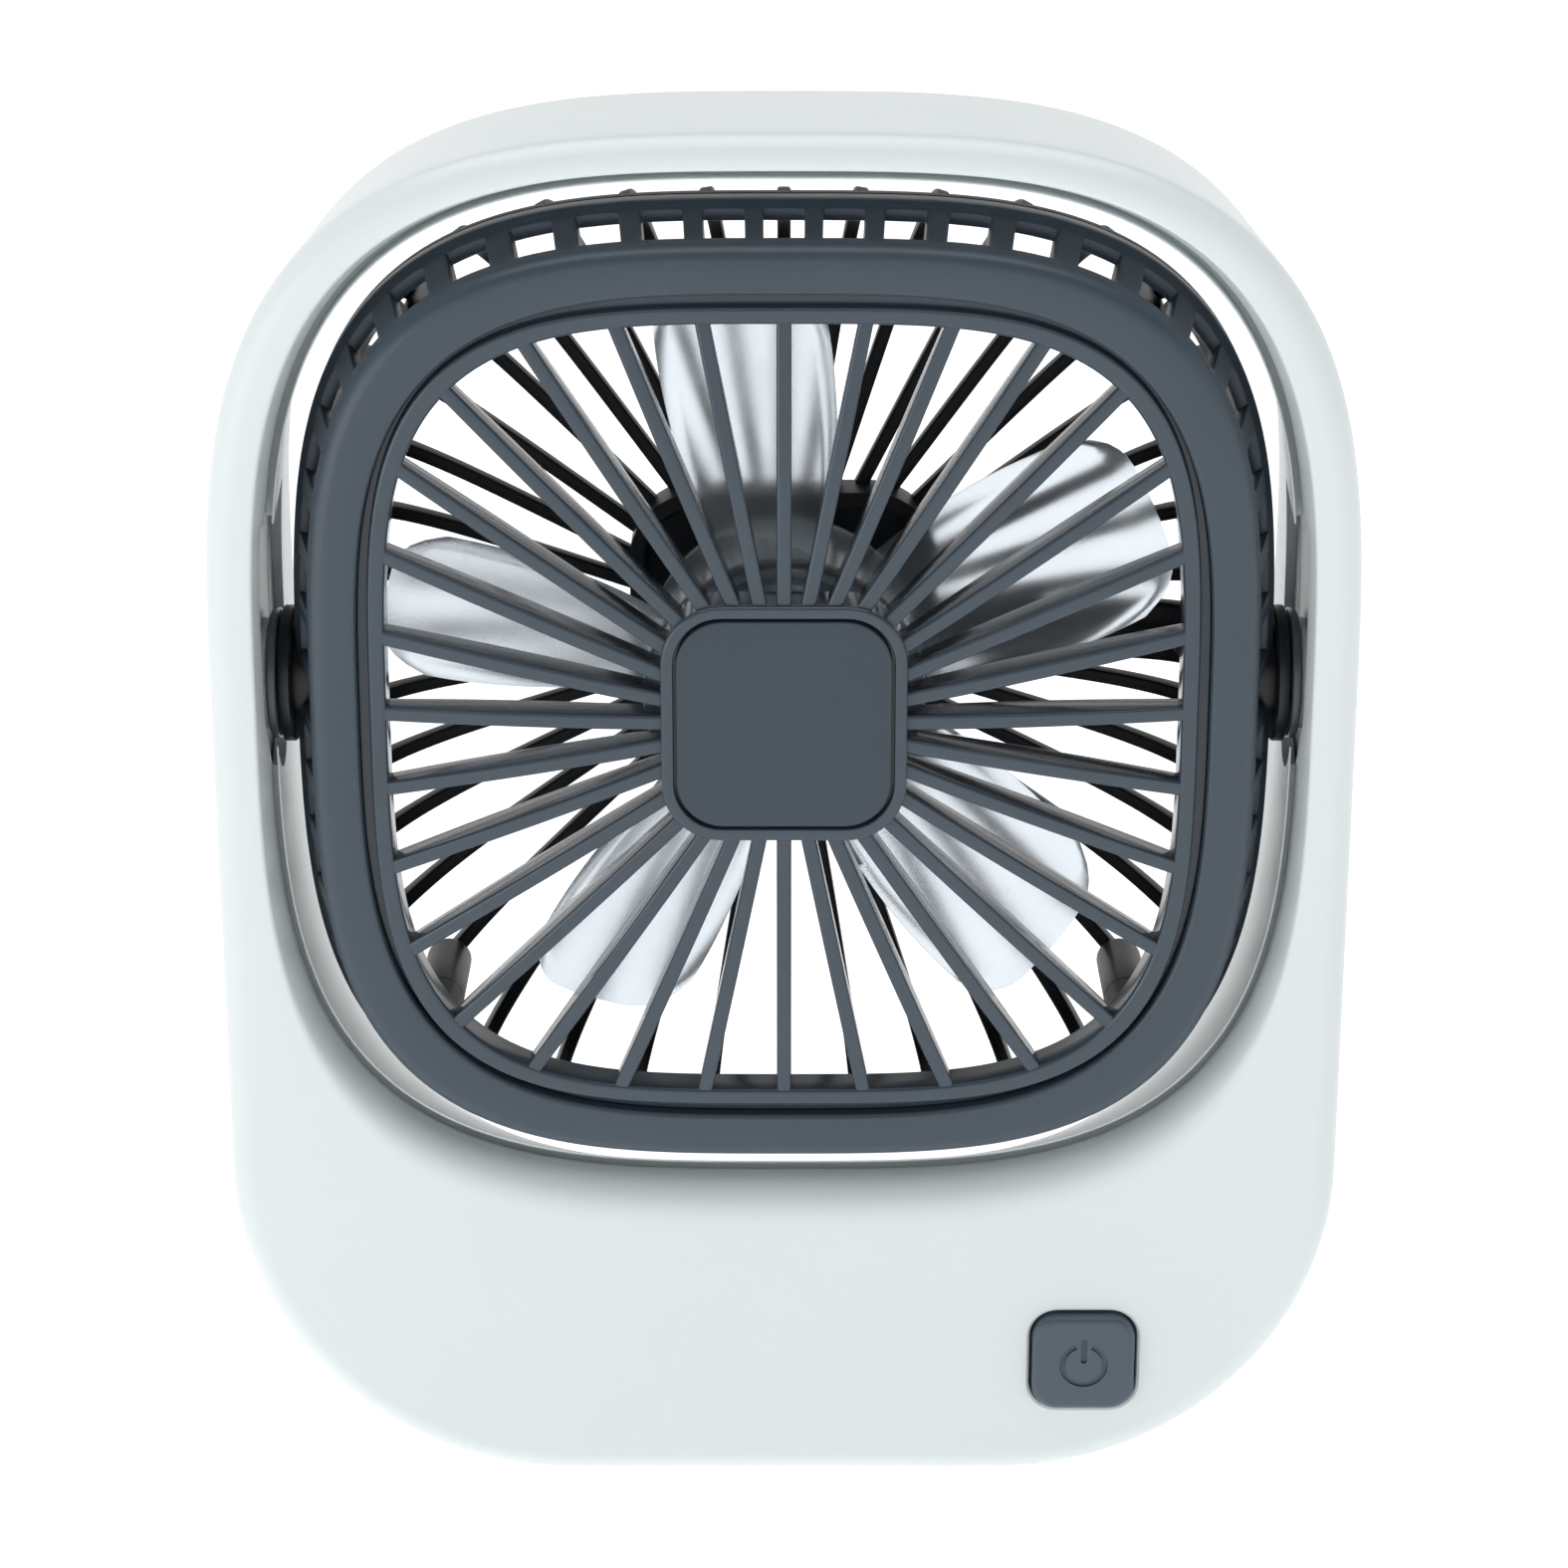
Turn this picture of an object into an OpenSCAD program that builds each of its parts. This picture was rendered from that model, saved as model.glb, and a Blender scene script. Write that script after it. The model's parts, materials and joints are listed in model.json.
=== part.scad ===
// Small tilting desk fan: a square fan head that swings on two side trunnions
// inside a rounded loop, which stands on a thick base with the cell and electronics.
// Millimetres. +Z is up, the fan blows towards -Y, and the origin is on the
// surface it stands on, under the middle of the whole fan.

/* [Housing] */
// Width of the housing
body_w = 125; // [124:0.5:127]
// Height of the housing above its feet
body_h = 156; // [154:1:158]
// Depth of the housing at the bottom
base_d = 60; // [58:1:62]
// Depth of the loop at the top
loop_d = 35; // [34:1:37]
// Wall thickness of the front shell
wall = 1.5; // [1.4:0.1:1.6]
// Radius of the two lower corners
foot_corner_r = 38; // [36:1:40]
// Squareness of the upper corners (2 is round, higher is squarer)
corner_n = 3.25; // [3.1:0.05:3.4]
// Height of a rubber foot below the housing
foot_h = 1; // [0.8:0.1:1.2]
// Radius of a rubber foot
foot_r = 4.5; // [4:0.5:5]

/* [Opening] */
// Half width of the opening at its narrowest line
open_half_w = 55.6; // [55.5:0.1:56]
// Height of the opening above the tilt axis
open_up = 57.2; // [57:0.1:57.4]
// Depth of the opening below the tilt axis
open_down = 55.6; // [55.5:0.1:56]
// Squareness of the opening
open_n = 3.3; // [3.2:0.05:3.4]
// Downward slope of the opening's floor towards the rear, in degrees
floor_slope = 25; // [24:1:26]

/* [Fan head] */
// Half width of the head at its rim
head_half_w = 54; // [53.5:0.1:54]
// How much further the head reaches below the tilt axis than above it
head_low = 1.4; // [1:0.1:1.4]
// Squareness of the head
head_n = 3.33; // [3.25:0.01:3.4]
// Depth of the head from hub cap to rear ribs
head_d = 37; // [36.5:0.5:37]
// Half width of the inside edge of the grille ring
ring_half_w = 43; // [42.6:0.1:43.2]
// Squareness of the grille ring
ring_n = 3.67; // [3.6:0.01:3.7]
// Number of front spokes
spokes = 32; // [28:2:34]
// Number of slots round the side
slots = 52; // [48:2:54]
// Number of rear ribs
ribs = 40; // [36:2:44]
// Width of the hub ring
hub_w = 26.5; // [26:0.5:27]

/* [Impeller] */
// Number of blades
blades = 5; // [3:1:6]
// Tip radius of the blades
tip_r = 45; // [43:0.5:46]
// Outside radius of the impeller's hub
impeller_hub_r = 15.5; // [15:0.1:16]

/* [Tilt pivot] */
// Radius of a trunnion pin
pin_r = 3.5; // [3.4:0.1:3.6]
// Running clearance between pin and bush, on the radius
pin_gap = 0.05; // [0.03:0.01:0.08]

/* [Button] */
// Width of the power button
button_w = 11.7; // [11.2:0.1:12]
// Distance of the button from the middle of the fan
button_x = 34.3; // [33:0.1:35]
// How far the button stands out of the front
button_out = 1.4; // [1.2:0.1:1.5]

/* [Hidden] */

// Depths below are measured backwards from the face of the hub cap, and
// heights from the tilt axis; in_place() moves them into the fan's frame.
proud = 5;                                   // hub cap ahead of the housing's front
total_d = proud + base_d;
axis_down = body_h - body_w / 2;             // tilt axis to the underside of the housing
axis_z = axis_down + foot_h;
pivot_d = head_d / 2;                        // depth of the tilt axis
steps = 96;                                  // points round a lofted outline
rear_lean = (base_d - loop_d) / body_h;
half_w = body_w / 2;
front_round = 3;
draft = 1.3;                                 // walls lean in by this much at the rear
crest_d = 9.6;                               // depth of the opening's narrowest line
lip_t = 2.4;
lip_side_t = 2.9;                            // the same beside the pivot pockets
seam_gap = 0.15;
rear_t = 1.6;
recess_x = 57.9;                             // floor of the pivot recess
boss_x = 58.9;
recess_up = 19.7;
recess_down = 10.5;
button_z = -78.5;
button_travel = 0.8;
split_d = pivot_d;                           // the head's halves meet on the tilt axis
corner_screw_x = 39.3;
fine = 0.05;
slot_front = 6.9;                            // depths between which the side slots open
slot_back = 14;
slot_w = 4.4;
spoke_t = 1.5;
rib_t = 1.5;
lead_arm_t = 7;                              // the rib that carries the motor lead
post_r = 3;                                  // screw posts of the front shell
board_post_r = 2;
port_post_r = 2.2;
pilot_r = 0.85;                              // pilot holes of the small screws
well_r = 2.5;                                // wells for the housing screws' heads
well_deep = 3.4;
button_gap = 0.3;
flange_r = 7.3;                              // flange of a pivot bush
flange_x = 55.85;
flange_t = 1.05;
seat_r = 6.2;                                // raised seat of a bush on the recess floor
disc_r = 7.6;                                // disc of a trunnion
hub_ring_r = 6.5;
motor_plate_w = 35;
motor_plate_r = 7.8;
screw_x = 7;                                 // the motor's two screws
$fn = 48;

function oval(a, b, n, t) = 1 / pow(pow(abs(cos(t)) / a, n) + pow(abs(sin(t)) / b, n), 1 / n);

// Depth of the leaning rear face at height z
function rear_at(z) = total_d - rear_lean * (z + axis_down);

// Outline of the housing, moved in by inset at the sides and up by lift at the bottom:
// a squarish top on a base with round corners
function housing_r(inset, lift, t) =
    let (w = half_w - inset, down = axis_down - lift, r = foot_corner_r - inset,
         cx = w - r, cz = down - r, c = abs(cos(t)), s = abs(sin(t)))
    sin(t) >= 0 ? oval(w, w, corner_n, t)
    : w * s <= cz * c ? w / c
    : down * c <= cx * s ? down / s
    : let (b = cx * c + cz * s) b + sqrt(b * b - cx * cx - cz * cz + r * r);

// Outline of the opening, grown by side, up and down
function opening_r(side, up, down, t) =
    oval(open_half_w + side, (sin(t) >= 0 ? open_up + up : open_down + down), open_n, t);

// Outline of the head: its lower half is slightly taller than its upper half
function head_r(a, n, t) = oval(a, (sin(t) >= 0 ? a : a * (1 + head_low / head_half_w)), n, t);

function angles() = [for (i = [0:steps - 1]) 360 * i / steps];
function at_depth(r, t, d) = [r * cos(t), d, r * sin(t)];
function housing_ring(inset, d) = [for (t = angles()) at_depth(housing_r(inset, inset, t), t, d)];
function housing_rear_ring(lift, back) =
    [for (t = angles()) let (r = housing_r(lift + draft, lift, t))
        at_depth(r, t, rear_at(r * sin(t)) - back)];
function opening_ring(side, up, down, d) =
    [for (t = angles()) at_depth(opening_r(side, up, down, t), t, d)];
function opening_rear_ring(side, up, down, back) =
    [for (t = angles()) let (r = opening_r(side, up, down, t))
        at_depth(r, t, rear_at(r * sin(t)) - back)];
function head_ring(a, n, d) = [for (t = angles()) at_depth(head_r(a, n, t), t, d)];

// Closed skin through rings of points; the last ring joins the first
module ring_skin(rings) {
    m = len(rings);
    n = len(rings[0]);
    polyhedron(
        points = [for (ring = rings) for (p = ring) p],
        faces = [for (i = [0:m - 1]) for (j = [0:n - 1])
            let (a = i * n + j, b = i * n + (j + 1) % n,
                 c = ((i + 1) % m) * n + (j + 1) % n, e = ((i + 1) % m) * n + j)
            for (f = [[a, b, c], [a, c, e]]) f]
    );
}

// From depth and height about the tilt axis to the fan's frame
module in_place() {
    translate([0, -total_d / 2, axis_z]) children();
}

// Cylinder along the fan's axis, from depth d0 to d1
module rod_y(r, d0, d1, x = 0, z = 0) {
    translate([x, d0, z]) rotate([-90, 0, 0]) cylinder(r = r, h = d1 - d0);
}

// Cylinder along X on the tilt axis, from x0 to x1
module rod_x(r, x0, x1) {
    translate([x0, pivot_d, 0]) rotate([0, 90, 0]) cylinder(r = r, h = x1 - x0);
}

// The same, outwards from x0 to x1 on the right (side 1) or the left (side -1)
module rod_out(r, side, x0, x1) {
    rod_x(r, min(side * x0, side * x1), max(side * x0, side * x1));
}

// Plate with round corners, from depth d0 to d1
module soft_plate(w, h, r, d0, d1) {
    translate([0, d1, 0]) rotate([90, 0, 0]) linear_extrude(d1 - d0) {
        square([w, h - 2 * r], center = true);
        square([w - 2 * r, h], center = true);
        for (x = [-1, 1], y = [-1, 1]) translate([x * (w / 2 - r), y * (h / 2 - r)]) circle(r);
    }
}

module box(lo, hi) {
    translate(lo) cube(hi - lo);
}

// Flat fin in a plane through the fan's axis at angle t, drawn as [radius, depth] points
module fin(points, t, thick) {
    rotate([0, -t, 0]) translate([0, 0, -thick / 2]) linear_extrude(thick) polygon(points);
}

// Where the housing screws sit, as [x, z, depth where the front shell's post begins]
low_screw_places = [[-22, -87.5, 46], [22, -87.5, 46]];
housing_screw_places = concat([[-46, -71, 6.5], [46, -71, 6.5]], low_screw_places);
head_screw_places = [for (x = [-1, 1], z = [-1, 1]) [x * corner_screw_x, z * corner_screw_x]];

module front_shell() {
    color("#e9eef0") in_place() difference() {
        union() {
            ring_skin([
                housing_rear_ring(wall, 0),
                housing_ring(wall, proud + front_round + 0.6),
                housing_ring(wall + 0.7, proud + 1.8),
                opening_ring(lip_side_t + 0.4, lip_t + 0.4, lip_t + 2, proud + 1.8),
                opening_ring(lip_side_t, lip_t, lip_t + 0.2, proud + 2.4),
                opening_ring(lip_side_t, lip_t, lip_t, crest_d),
                opening_ring(0, 0, 0, crest_d),
                opening_ring(0.13, 0.13, 0.37, proud + 3),
                opening_ring(0.5, 0.5, 1.4, proud + 1.65),
                opening_ring(1.2, 1.2, 3.5, proud + 0.43),
                opening_ring(2.1, 2.1, 6.1, proud),
                housing_ring(front_round, proud),
                housing_ring(1.5, proud + 0.4),
                housing_ring(0.4, proud + 1.5),
                housing_ring(0, proud + front_round),
                housing_rear_ring(0, 0)
            ]);
            for (p = housing_screw_places) rod_y(post_r, p[2], rear_at(p[1]) - 6, p[0], p[1]);
            for (p = low_screw_places)
                box([p[0] - 1, p[2], 1 - axis_down], [p[0] + 1, rear_at(p[1]) - 6, p[1] - 2]);
            for (p = board_screw_places) rod_y(board_post_r, proud + 1.5, board_d, p[0], p[1]);
            for (p = port_screw_places) translate([p[0], p[1], 1 - axis_down])
                cylinder(r = port_post_r, h = port_board_z + axis_down - 1);
        }
        for (p = board_screw_places) rod_y(pilot_r, board_d - 4, board_d + 1, p[0], p[1]);
        for (p = port_screw_places) translate([p[0], p[1], port_board_z - 1.7])
            cylinder(r = pilot_r, h = 3);
        for (p = housing_screw_places)
            rod_y(1.05, rear_at(p[1]) - 16, rear_at(p[1]), p[0], p[1]);
        pivot_recess(-1);
        pivot_recess(1);
        translate([button_x, 0, button_z])
            soft_plate(button_hole_w, button_hole_w, 3.2, proud - 1, proud + 3);
        for (x = [-1, 1], d = foot_depths)
            translate([x * foot_x, d, -axis_down - 1]) cylinder(r = foot_r + 0.1, h = 1 + foot_sunk);
    }
}

button_hole_w = button_w + 2 * button_gap;
foot_x = 19;
foot_sunk = 0.6;
foot_depths = [14, 55];

// Shallow pocket in the opening's wall, flat on top and round at the bottom
module pivot_recess(side) {
    middle = side * (recess_x - 2);
    front = pivot_d - recess_down;
    back = pivot_d + recess_down;
    box([middle - 2, front, 0], [middle + 2, back, recess_up]);
    intersection() {
        rod_out(recess_down, side, recess_x - 4, recess_x);
        box([middle - 2, front, -recess_down - 1], [middle + 2, back, 1]);
    }
}

module rear_cover() {
    color("#e4e9ec") in_place() {
        cover_wall();
        for (x = [-1, 1]) bush_seat(x);
    }
}

// Raised ring that carries a bush's flange
module bush_seat(side) {
    difference() {
        rod_out(seat_r, side, flange_x + flange_t, boss_x - 0.4);
        rod_out(bush_r + fine, side, 54, 60);
    }
}

module cover_wall() {
    tunnel_t = 1.2;
    difference() {
        union() {
            ring_skin([
                opening_ring(1.6, 1.6, 1.6, crest_d + 0.1),
                tunnel_rear_ring(tunnel_t, rear_t + 0.1),
                housing_rear_ring(wall + seam_gap, rear_t),
                housing_rear_ring(wall + seam_gap, 0),
                tunnel_rear_ring(0.8, 0),
                tunnel_rear_ring(0, 1.2),
                opening_ring(0, 0, 0, crest_d + 0.1)
            ]);
            for (x = [-1, 1]) pivot_boss(x);
            for (p = housing_screw_places)
                rod_y(well_r + 1.1, rear_at(p[1]) - 5.9, rear_at(p[1]) - 0.6, p[0], p[1]);
        }
        for (p = housing_screw_places) {
            rod_y(1.2, rear_at(p[1]) - 7, rear_at(p[1]) + 2, p[0], p[1]);
            rod_y(well_r, rear_at(p[1]) - well_deep, rear_at(p[1]) + 2, p[0], p[1]);
        }
        for (x = [-1, 1]) {
            pivot_recess(x);
            rod_out(bush_r + fine, x, 54, 60);
        }
        translate([0, 0, usb_z]) soft_plate(usb_w + 0.4, usb_h + 0.4, 1.2, total_d - 12, total_d + 3);
        rod_y(light_r + fine, total_d - 10, total_d + 3, light_x, usb_z);
    }
}

bush_r = 4.6;
usb_z = -87;
usb_w = 8.9;
usb_h = 3.2;
light_r = 1;
light_x = 9;
floor_drop = (total_d - 2 - crest_d) * tan(floor_slope);

// The tunnel's edge at the rear face: wider at the sides, and lower at the bottom
function tunnel_rear_ring(grow, back) = opening_rear_ring(2.4 + grow, 0.7 + grow, floor_drop + grow, back);

module pivot_boss(side) {
    boss_t = boss_x - open_half_w - 0.7;
    middle = side * (boss_x - boss_t / 2);
    box([middle - boss_t / 2, crest_d + 0.3, -recess_down - 1.6],
        [middle + boss_t / 2, 31, recess_up + 1.4]);
}

module rubber_feet() {
    color("#3a3d40") in_place() for (x = [-1, 1], d = foot_depths)
        translate([x * foot_x, d, -axis_down - foot_h]) cylinder(r = foot_r, h = foot_h + foot_sunk);
}

module housing_screws() {
    color("#9a9da0") in_place() for (p = housing_screw_places) difference() {
        union() {
            rod_y(2.2, rear_at(p[1]) - well_deep, rear_at(p[1]) - 1.8, p[0], p[1]);
            rod_y(1, rear_at(p[1]) - 14, rear_at(p[1]) - well_deep, p[0], p[1]);
        }
        cross_slot(p[0], rear_at(p[1]) - 1.8, p[1], 2.6);
    }
}

// Cross recess in a screw head whose face is at depth d
module cross_slot(x, d, z, w) {
    for (a = [0, 90]) translate([x, d, z]) rotate([0, a, 0]) cube([w, 1.4, 0.5], center = true);
}

// Bush with a flange, pressed into the wall of the opening
module pivot_bush(side) {
    sleeve_x = boss_x + 0.05;
    color("#c9ced2") in_place() difference() {
        union() {
            rod_out(flange_r, side, flange_x, flange_x + flange_t);
            rod_out(bush_r, side, flange_x + flange_t, sleeve_x);
        }
        rod_out(pin_r + pin_gap, side, 50, 62);
    }
}

module left_pivot_bush() {
    pivot_bush(-1);
}

module right_pivot_bush() {
    pivot_bush(1);
}

// Round cell that lies across the base
cell_r = 9;
cell_l = 65;
cell_d = 32;
cell_z = -80.4;

module battery_cell() {
    color("#4f86b5") in_place() translate([-cell_l / 2, cell_d, cell_z]) rotate([0, 90, 0]) {
        cylinder(r = cell_r, h = cell_l - 1.5);
        translate([0, 0, cell_l - 1.5]) cylinder(r = 3, h = 1.5);
    }
}

module battery_holder() {
    color("#2f3133") in_place() difference() {
        box([-15, cell_d - 8, -axis_down + wall], [15, cell_d + 8, cell_z - 3]);
        translate([-20, cell_d, cell_z]) rotate([0, 90, 0]) cylinder(r = cell_r + fine, h = 40);
    }
}

board_d = 17.4;
board_t = 1.2;
board_screw_places = [[18, -72], [18, -83.5], [45, -79]];
port_screw_places = [[-10, 55.5], [10, 55.5]];
port_board_z = usb_z - 2.9;

module control_board() {
    color("#2f6b45") in_place() difference() {
        union() {
            box([14.5, board_d, -86], [42.5, board_d + board_t, -69]);
            box([42.4, board_d, -81.5], [47.5, board_d + board_t, -76]);
            box([22, board_d + board_t, -75], [27, board_d + 2.7, -71]);
            box([30, board_d + board_t, -74], [33, board_d + 2.4, -71]);
        }
        for (p = board_screw_places) rod_y(0.9, board_d - 1, board_d + 3, p[0], p[1]);
    }
}

module tact_switch() {
    color("#b9bcbe") in_place() translate([button_x, 0, button_z]) difference() {
        soft_plate(6, 6, 0.5, board_d - 3.5, board_d);
        rod_y(1.8, board_d - 5, board_d - 1);
    }
}

module charging_board() {
    color("#2f6b45") in_place() difference() {
        union() {
            box([-14, 47, port_board_z], [14, 60.5, port_board_z + board_t]);
            box([-12, 49, port_board_z + board_t], [-7, 53, usb_z - 0.2]);
            box([light_x - 1, 57, port_board_z + board_t], [light_x + 1, 58.5, usb_z + 1]);
        }
        for (p = port_screw_places) translate([p[0], p[1], port_board_z - 1]) cylinder(r = 0.9, h = 4);
    }
}

module usb_port() {
    tongue = [3, 0.35];
    color("#c4c8ca") in_place() translate([0, 0, usb_z]) {
        difference() {
            soft_plate(usb_w, usb_h, 1.1, 56.5, total_d - 1.6);
            soft_plate(usb_w - 0.6, usb_h - 0.6, 0.9, 57.5, total_d + 1);
        }
        box([-tongue[0], 57.3, -tongue[1]], [tongue[0], total_d - 2.6, tongue[1]]);
    }
}

module charge_light_pipe() {
    color("#dfe8dc") in_place() rod_y(light_r, 58.8, total_d - 1.2, light_x, usb_z);
}

module board_screws() {
    color("#9a9da0") in_place() {
        for (p = board_screw_places) {
            rod_y(1.5, board_d + board_t, board_d + 2.2, p[0], p[1]);
            rod_y(0.8, board_d - 3, board_d + board_t, p[0], p[1]);
        }
        for (p = port_screw_places) translate([p[0], p[1], port_board_z]) {
            translate([0, 0, board_t]) cylinder(r = 1.5, h = 1);
            translate([0, 0, -1.5]) cylinder(r = 0.8, h = 1.5 + board_t);
        }
    }
}

// Flat two-core lead from the hollow right trunnion down inside the wall
module motor_lead_frame() {
    color("#26282a") in_place() box([60, pivot_d - 1.2, -50], [60.45, pivot_d + 1.2, 1]);
}

module head_front_bezel() {
    color("#4b565f") in_place() difference() {
        union() {
            ring_skin([
                head_ring(46.1, head_n, 6.6),
                head_ring(46.1, head_n, 4.2),
                head_ring(46.8, head_n, 3.6),
                head_ring(49.6, head_n, 3.7),
                head_ring(50.9, head_n, 4.5),
                head_ring(51.4, head_n, 5.8),
                head_ring(head_half_w - 0.7, head_n, 14.2),
                head_ring(head_half_w, head_n, 15.6),
                head_ring(head_half_w, head_n, split_d - fine),
                head_ring(head_half_w - 1.8, head_n, split_d - fine),
                head_ring(head_half_w - 2.1, head_n, 14.4),
                head_ring(49.9, head_n, 6.6)
            ]);
            for (p = head_screw_places) {
                rod_y(head_post_r, 8.3, split_d - fine, p[0], p[1]);
                corner_web(atan2(p[1], p[0]));
            }
        }
        for (i = [0:slots - 1]) side_slot(90 + 360 * i / slots);
        for (p = head_screw_places) rod_y(pilot_r, 9, split_d + 1, p[0], p[1]);
        for (side = [-1, 1]) rod_out(neck_r + fine, side, 49, 57);
    }
}

head_post_r = 2.6;

// Web from a screw post to the corner of the bezel's wall
module corner_web(t) {
    grow = head_r(1, head_n, t) / oval(1, 1, head_n, t);
    line = [[54, 8.3], [58.4, 8.3], [60.3, 14.4], [60.8, 18.2], [54, 18.2]];
    fin([for (p = line) [p[0] * grow, p[1]]], t, 1.3);
}

// One opening in the side wall, between two posts
module side_slot(t) {
    inside = head_r(head_half_w - 4.8, head_n, t);
    rotate([0, -t, 0]) box([inside, slot_front, -slot_w / 2], [70, slot_back, slot_w / 2]);
}

module front_grille() {
    color("#4b565f") in_place() {
        ring_skin([
            head_ring(ring_half_w, ring_n, 8),
            head_ring(ring_half_w, ring_n, 4.2),
            head_ring(ring_half_w + 0.6, ring_n, 3.6),
            head_ring(ring_half_w + 1.4, ring_n, 3.6),
            head_ring(ring_half_w + 1.8, ring_n, 4.1),
            head_ring(ring_half_w + 1.8, ring_n, 6.75),
            head_ring(ring_half_w + 4.4, 3.5, 6.75),
            head_ring(ring_half_w + 4.4, 3.5, 8)
        ]);
        for (i = [0:spokes - 1]) front_spoke(90 + 360 * i / spokes);
        difference() {
            soft_plate(hub_w, hub_w, hub_ring_r, 0, 6);
            soft_plate(hub_w - 2.7, hub_w - 2.7, 5.4, -1, 1.6);
            soft_plate(hub_w - 4, hub_w - 4, 4.8, 3.2, 7);
        }
    }
}

hub_n = 4.475;                               // squareness that matches the hub ring's corners

// Curved spoke from the hub ring to the grille ring
module front_spoke(t) {
    r0 = oval(hub_w / 2 - 0.6, hub_w / 2 - 0.6, hub_n, t);
    r1 = head_r(ring_half_w + 0.9, ring_n, t);
    rise = [for (i = [0:6]) i / 6];
    face = [for (s = rise) [r0 + (r1 - r0) * s, 0.7 + 3.1 * pow(s, 1.7)]];
    back = [for (s = rise) [r1 - (r1 - r0) * s, 7.6 - 2.4 * s * s]];
    fin(concat(face, back), t, spoke_t);
}

module hub_cap() {
    color("#434d56") in_place() soft_plate(hub_w - 3.3, hub_w - 3.3, 5.1, 0, 1.6);
}

module head_rear_shell() {
    color("#3a434b") in_place() difference() {
        union() {
            ring_skin([
                head_ring(head_half_w, head_n, split_d),
                head_ring(head_half_w, head_n, 20.2),
                head_ring(head_half_w - 0.9, head_n, 21.6),
                head_ring(head_half_w - 1.2, head_n, 24),
                head_ring(head_half_w - 2.9, head_n, 24),
                head_ring(head_half_w - 1.9, head_n, split_d)
            ]);
            for (i = [0:ribs - 1]) rear_rib(90 + 360 * i / ribs, rib_t);
            difference() {
                soft_plate(motor_plate_w, motor_plate_w, motor_plate_r, 30, head_d - 0.5);
                soft_plate(motor_plate_w - 3.6, motor_plate_w - 3.6, motor_plate_r - 1.8, 29, motor_rear);
            }
            for (p = head_screw_places) rod_y(head_post_r, split_d, 31, p[0], p[1]);
            rear_rib(0, lead_arm_t);
        }
        fin(lead_way_in, 0, 3.6);
        fin(lead_way_out, 0, 2.6);
        for (p = head_screw_places) {
            rod_y(1.2, split_d - 1, 36, p[0], p[1]);
            rod_y(2, 24, 40, p[0], p[1]);
        }
        for (x = [-1, 1]) rod_y(1, motor_rear - 1, head_d + 1, x * screw_x, 0);
        for (side = [-1, 1]) rod_out(neck_r + fine, side, 49, 57);
    }
}

motor_rear = 33.6;
// The two halves of the lead's way through its arm, as [radius, depth]
lead_way_in = [[14, 31], [46, 30.5], [49.6, 27], [50.5, split_d], [45, split_d], [44, 28], [14, 29.5]];
lead_way_out = [[14, 36.2], [44, 34.9], [48.5, 31], [51.6, 23.8], [51.3, 19.8], [40, 25], [14, 31]];

// Rear rib: a bump past the rim, a shoulder, and a near-flat run to the motor plate
module rear_rib(t, thick) {
    inner = 16.5;
    stretch = (head_r(head_half_w, head_n, t) - inner) / (head_half_w - inner);
    outer_line = [[inner, 36.5], [34, 37], [43, 36], [49, 33.2], [52.2, 29], [53.5, 24.5], [53.6, 21.5]];
    inner_line = [[51.6, 21.5], [51.4, 24.2], [49.8, 28.2], [46.8, 31.4], [42, 33.8], [34, 34.8],
                  [inner, 34.4]];
    line = concat(outer_line, inner_line);
    fin([for (p = line) [inner + (p[0] - inner) * stretch, p[1]]], t, thick);
}

module head_screws() {
    color("#9a9da0") in_place() for (p = head_screw_places) difference() {
        union() {
            rod_y(1.8, 24, 25.4, p[0], p[1]);
            rod_y(0.8, 10.5, 24, p[0], p[1]);
        }
        cross_slot(p[0], 25.4, p[1], 2);
    }
}

// Trunnion: flange inside the head, neck through its wall, disc outside it, hollow pin
module trunnion(side) {
    color("#23272b") in_place() difference() {
        union() {
            rod_out(6.6, side, 49.6, 50.95);
            rod_out(neck_r, side, 50.95, neck_end);
            rod_out(disc_r, side, neck_end, disc_end);
            rod_out(pin_r, side, disc_end, pin_end);
        }
        rod_out(1.7, side, 49, 62);
        difference() {
            rod_out(pin_r + 1, side, clip_x - 0.04, clip_x + 0.44);
            rod_out(pin_r - 0.5, side, 58, 60);
        }
    }
}

pin_end = 59.7;
neck_r = 5;
neck_end = 54.15;
disc_end = 55.6;
clip_x = 59.06;
clip_t = 0.4;

module left_trunnion() {
    trunnion(-1);
}

module right_trunnion() {
    trunnion(1);
}

module trunnion_clips() {
    color("#9a9da0") in_place() for (side = [-1, 1]) difference() {
        rod_out(5.6, side, clip_x, clip_x + clip_t);
        rod_out(pin_r - 0.45, side, 58, 61);
        box([side * 59.5 - 1.5, pivot_d - 1.6, 0], [side * 59.5 + 1.5, pivot_d + 1.6, 7]);
    }
}

can_r = 10.5;
can_t = 0.8;
can_front = 16.5;
can_back = 31.5;
shaft_r = 1;
shaft_front = 10.8;

module motor_can() {
    color("#c3c7ca") in_place() difference() {
        union() {
            rod_y(can_r, can_front, can_back);
            rod_y(3, can_front - 1, can_front);
        }
        rod_y(can_r - can_t, can_front + can_t, can_back + 1);
        rod_y(1.7, can_front - 2, can_front + 2);
    }
}

module motor_end_cap() {
    color("#e3e0d6") in_place() difference() {
        rod_y(can_r, can_back, motor_rear);
        rod_y(1.7, can_back - 1, can_back + 1.5);
        for (x = [-1, 1]) rod_y(0.75, can_back + 0.4, motor_rear + 1, x * screw_x, 0);
    }
}

module motor_magnets() {
    color("#55585b") in_place() for (a = [0, 180]) rotate([0, a, 0]) difference() {
        rod_y(can_r - can_t - fine, 18.5, 29);
        rod_y(8.9, 18, 30);
        box([-12, 17, -12], [12, 31, 2.5]);
    }
}

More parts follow.
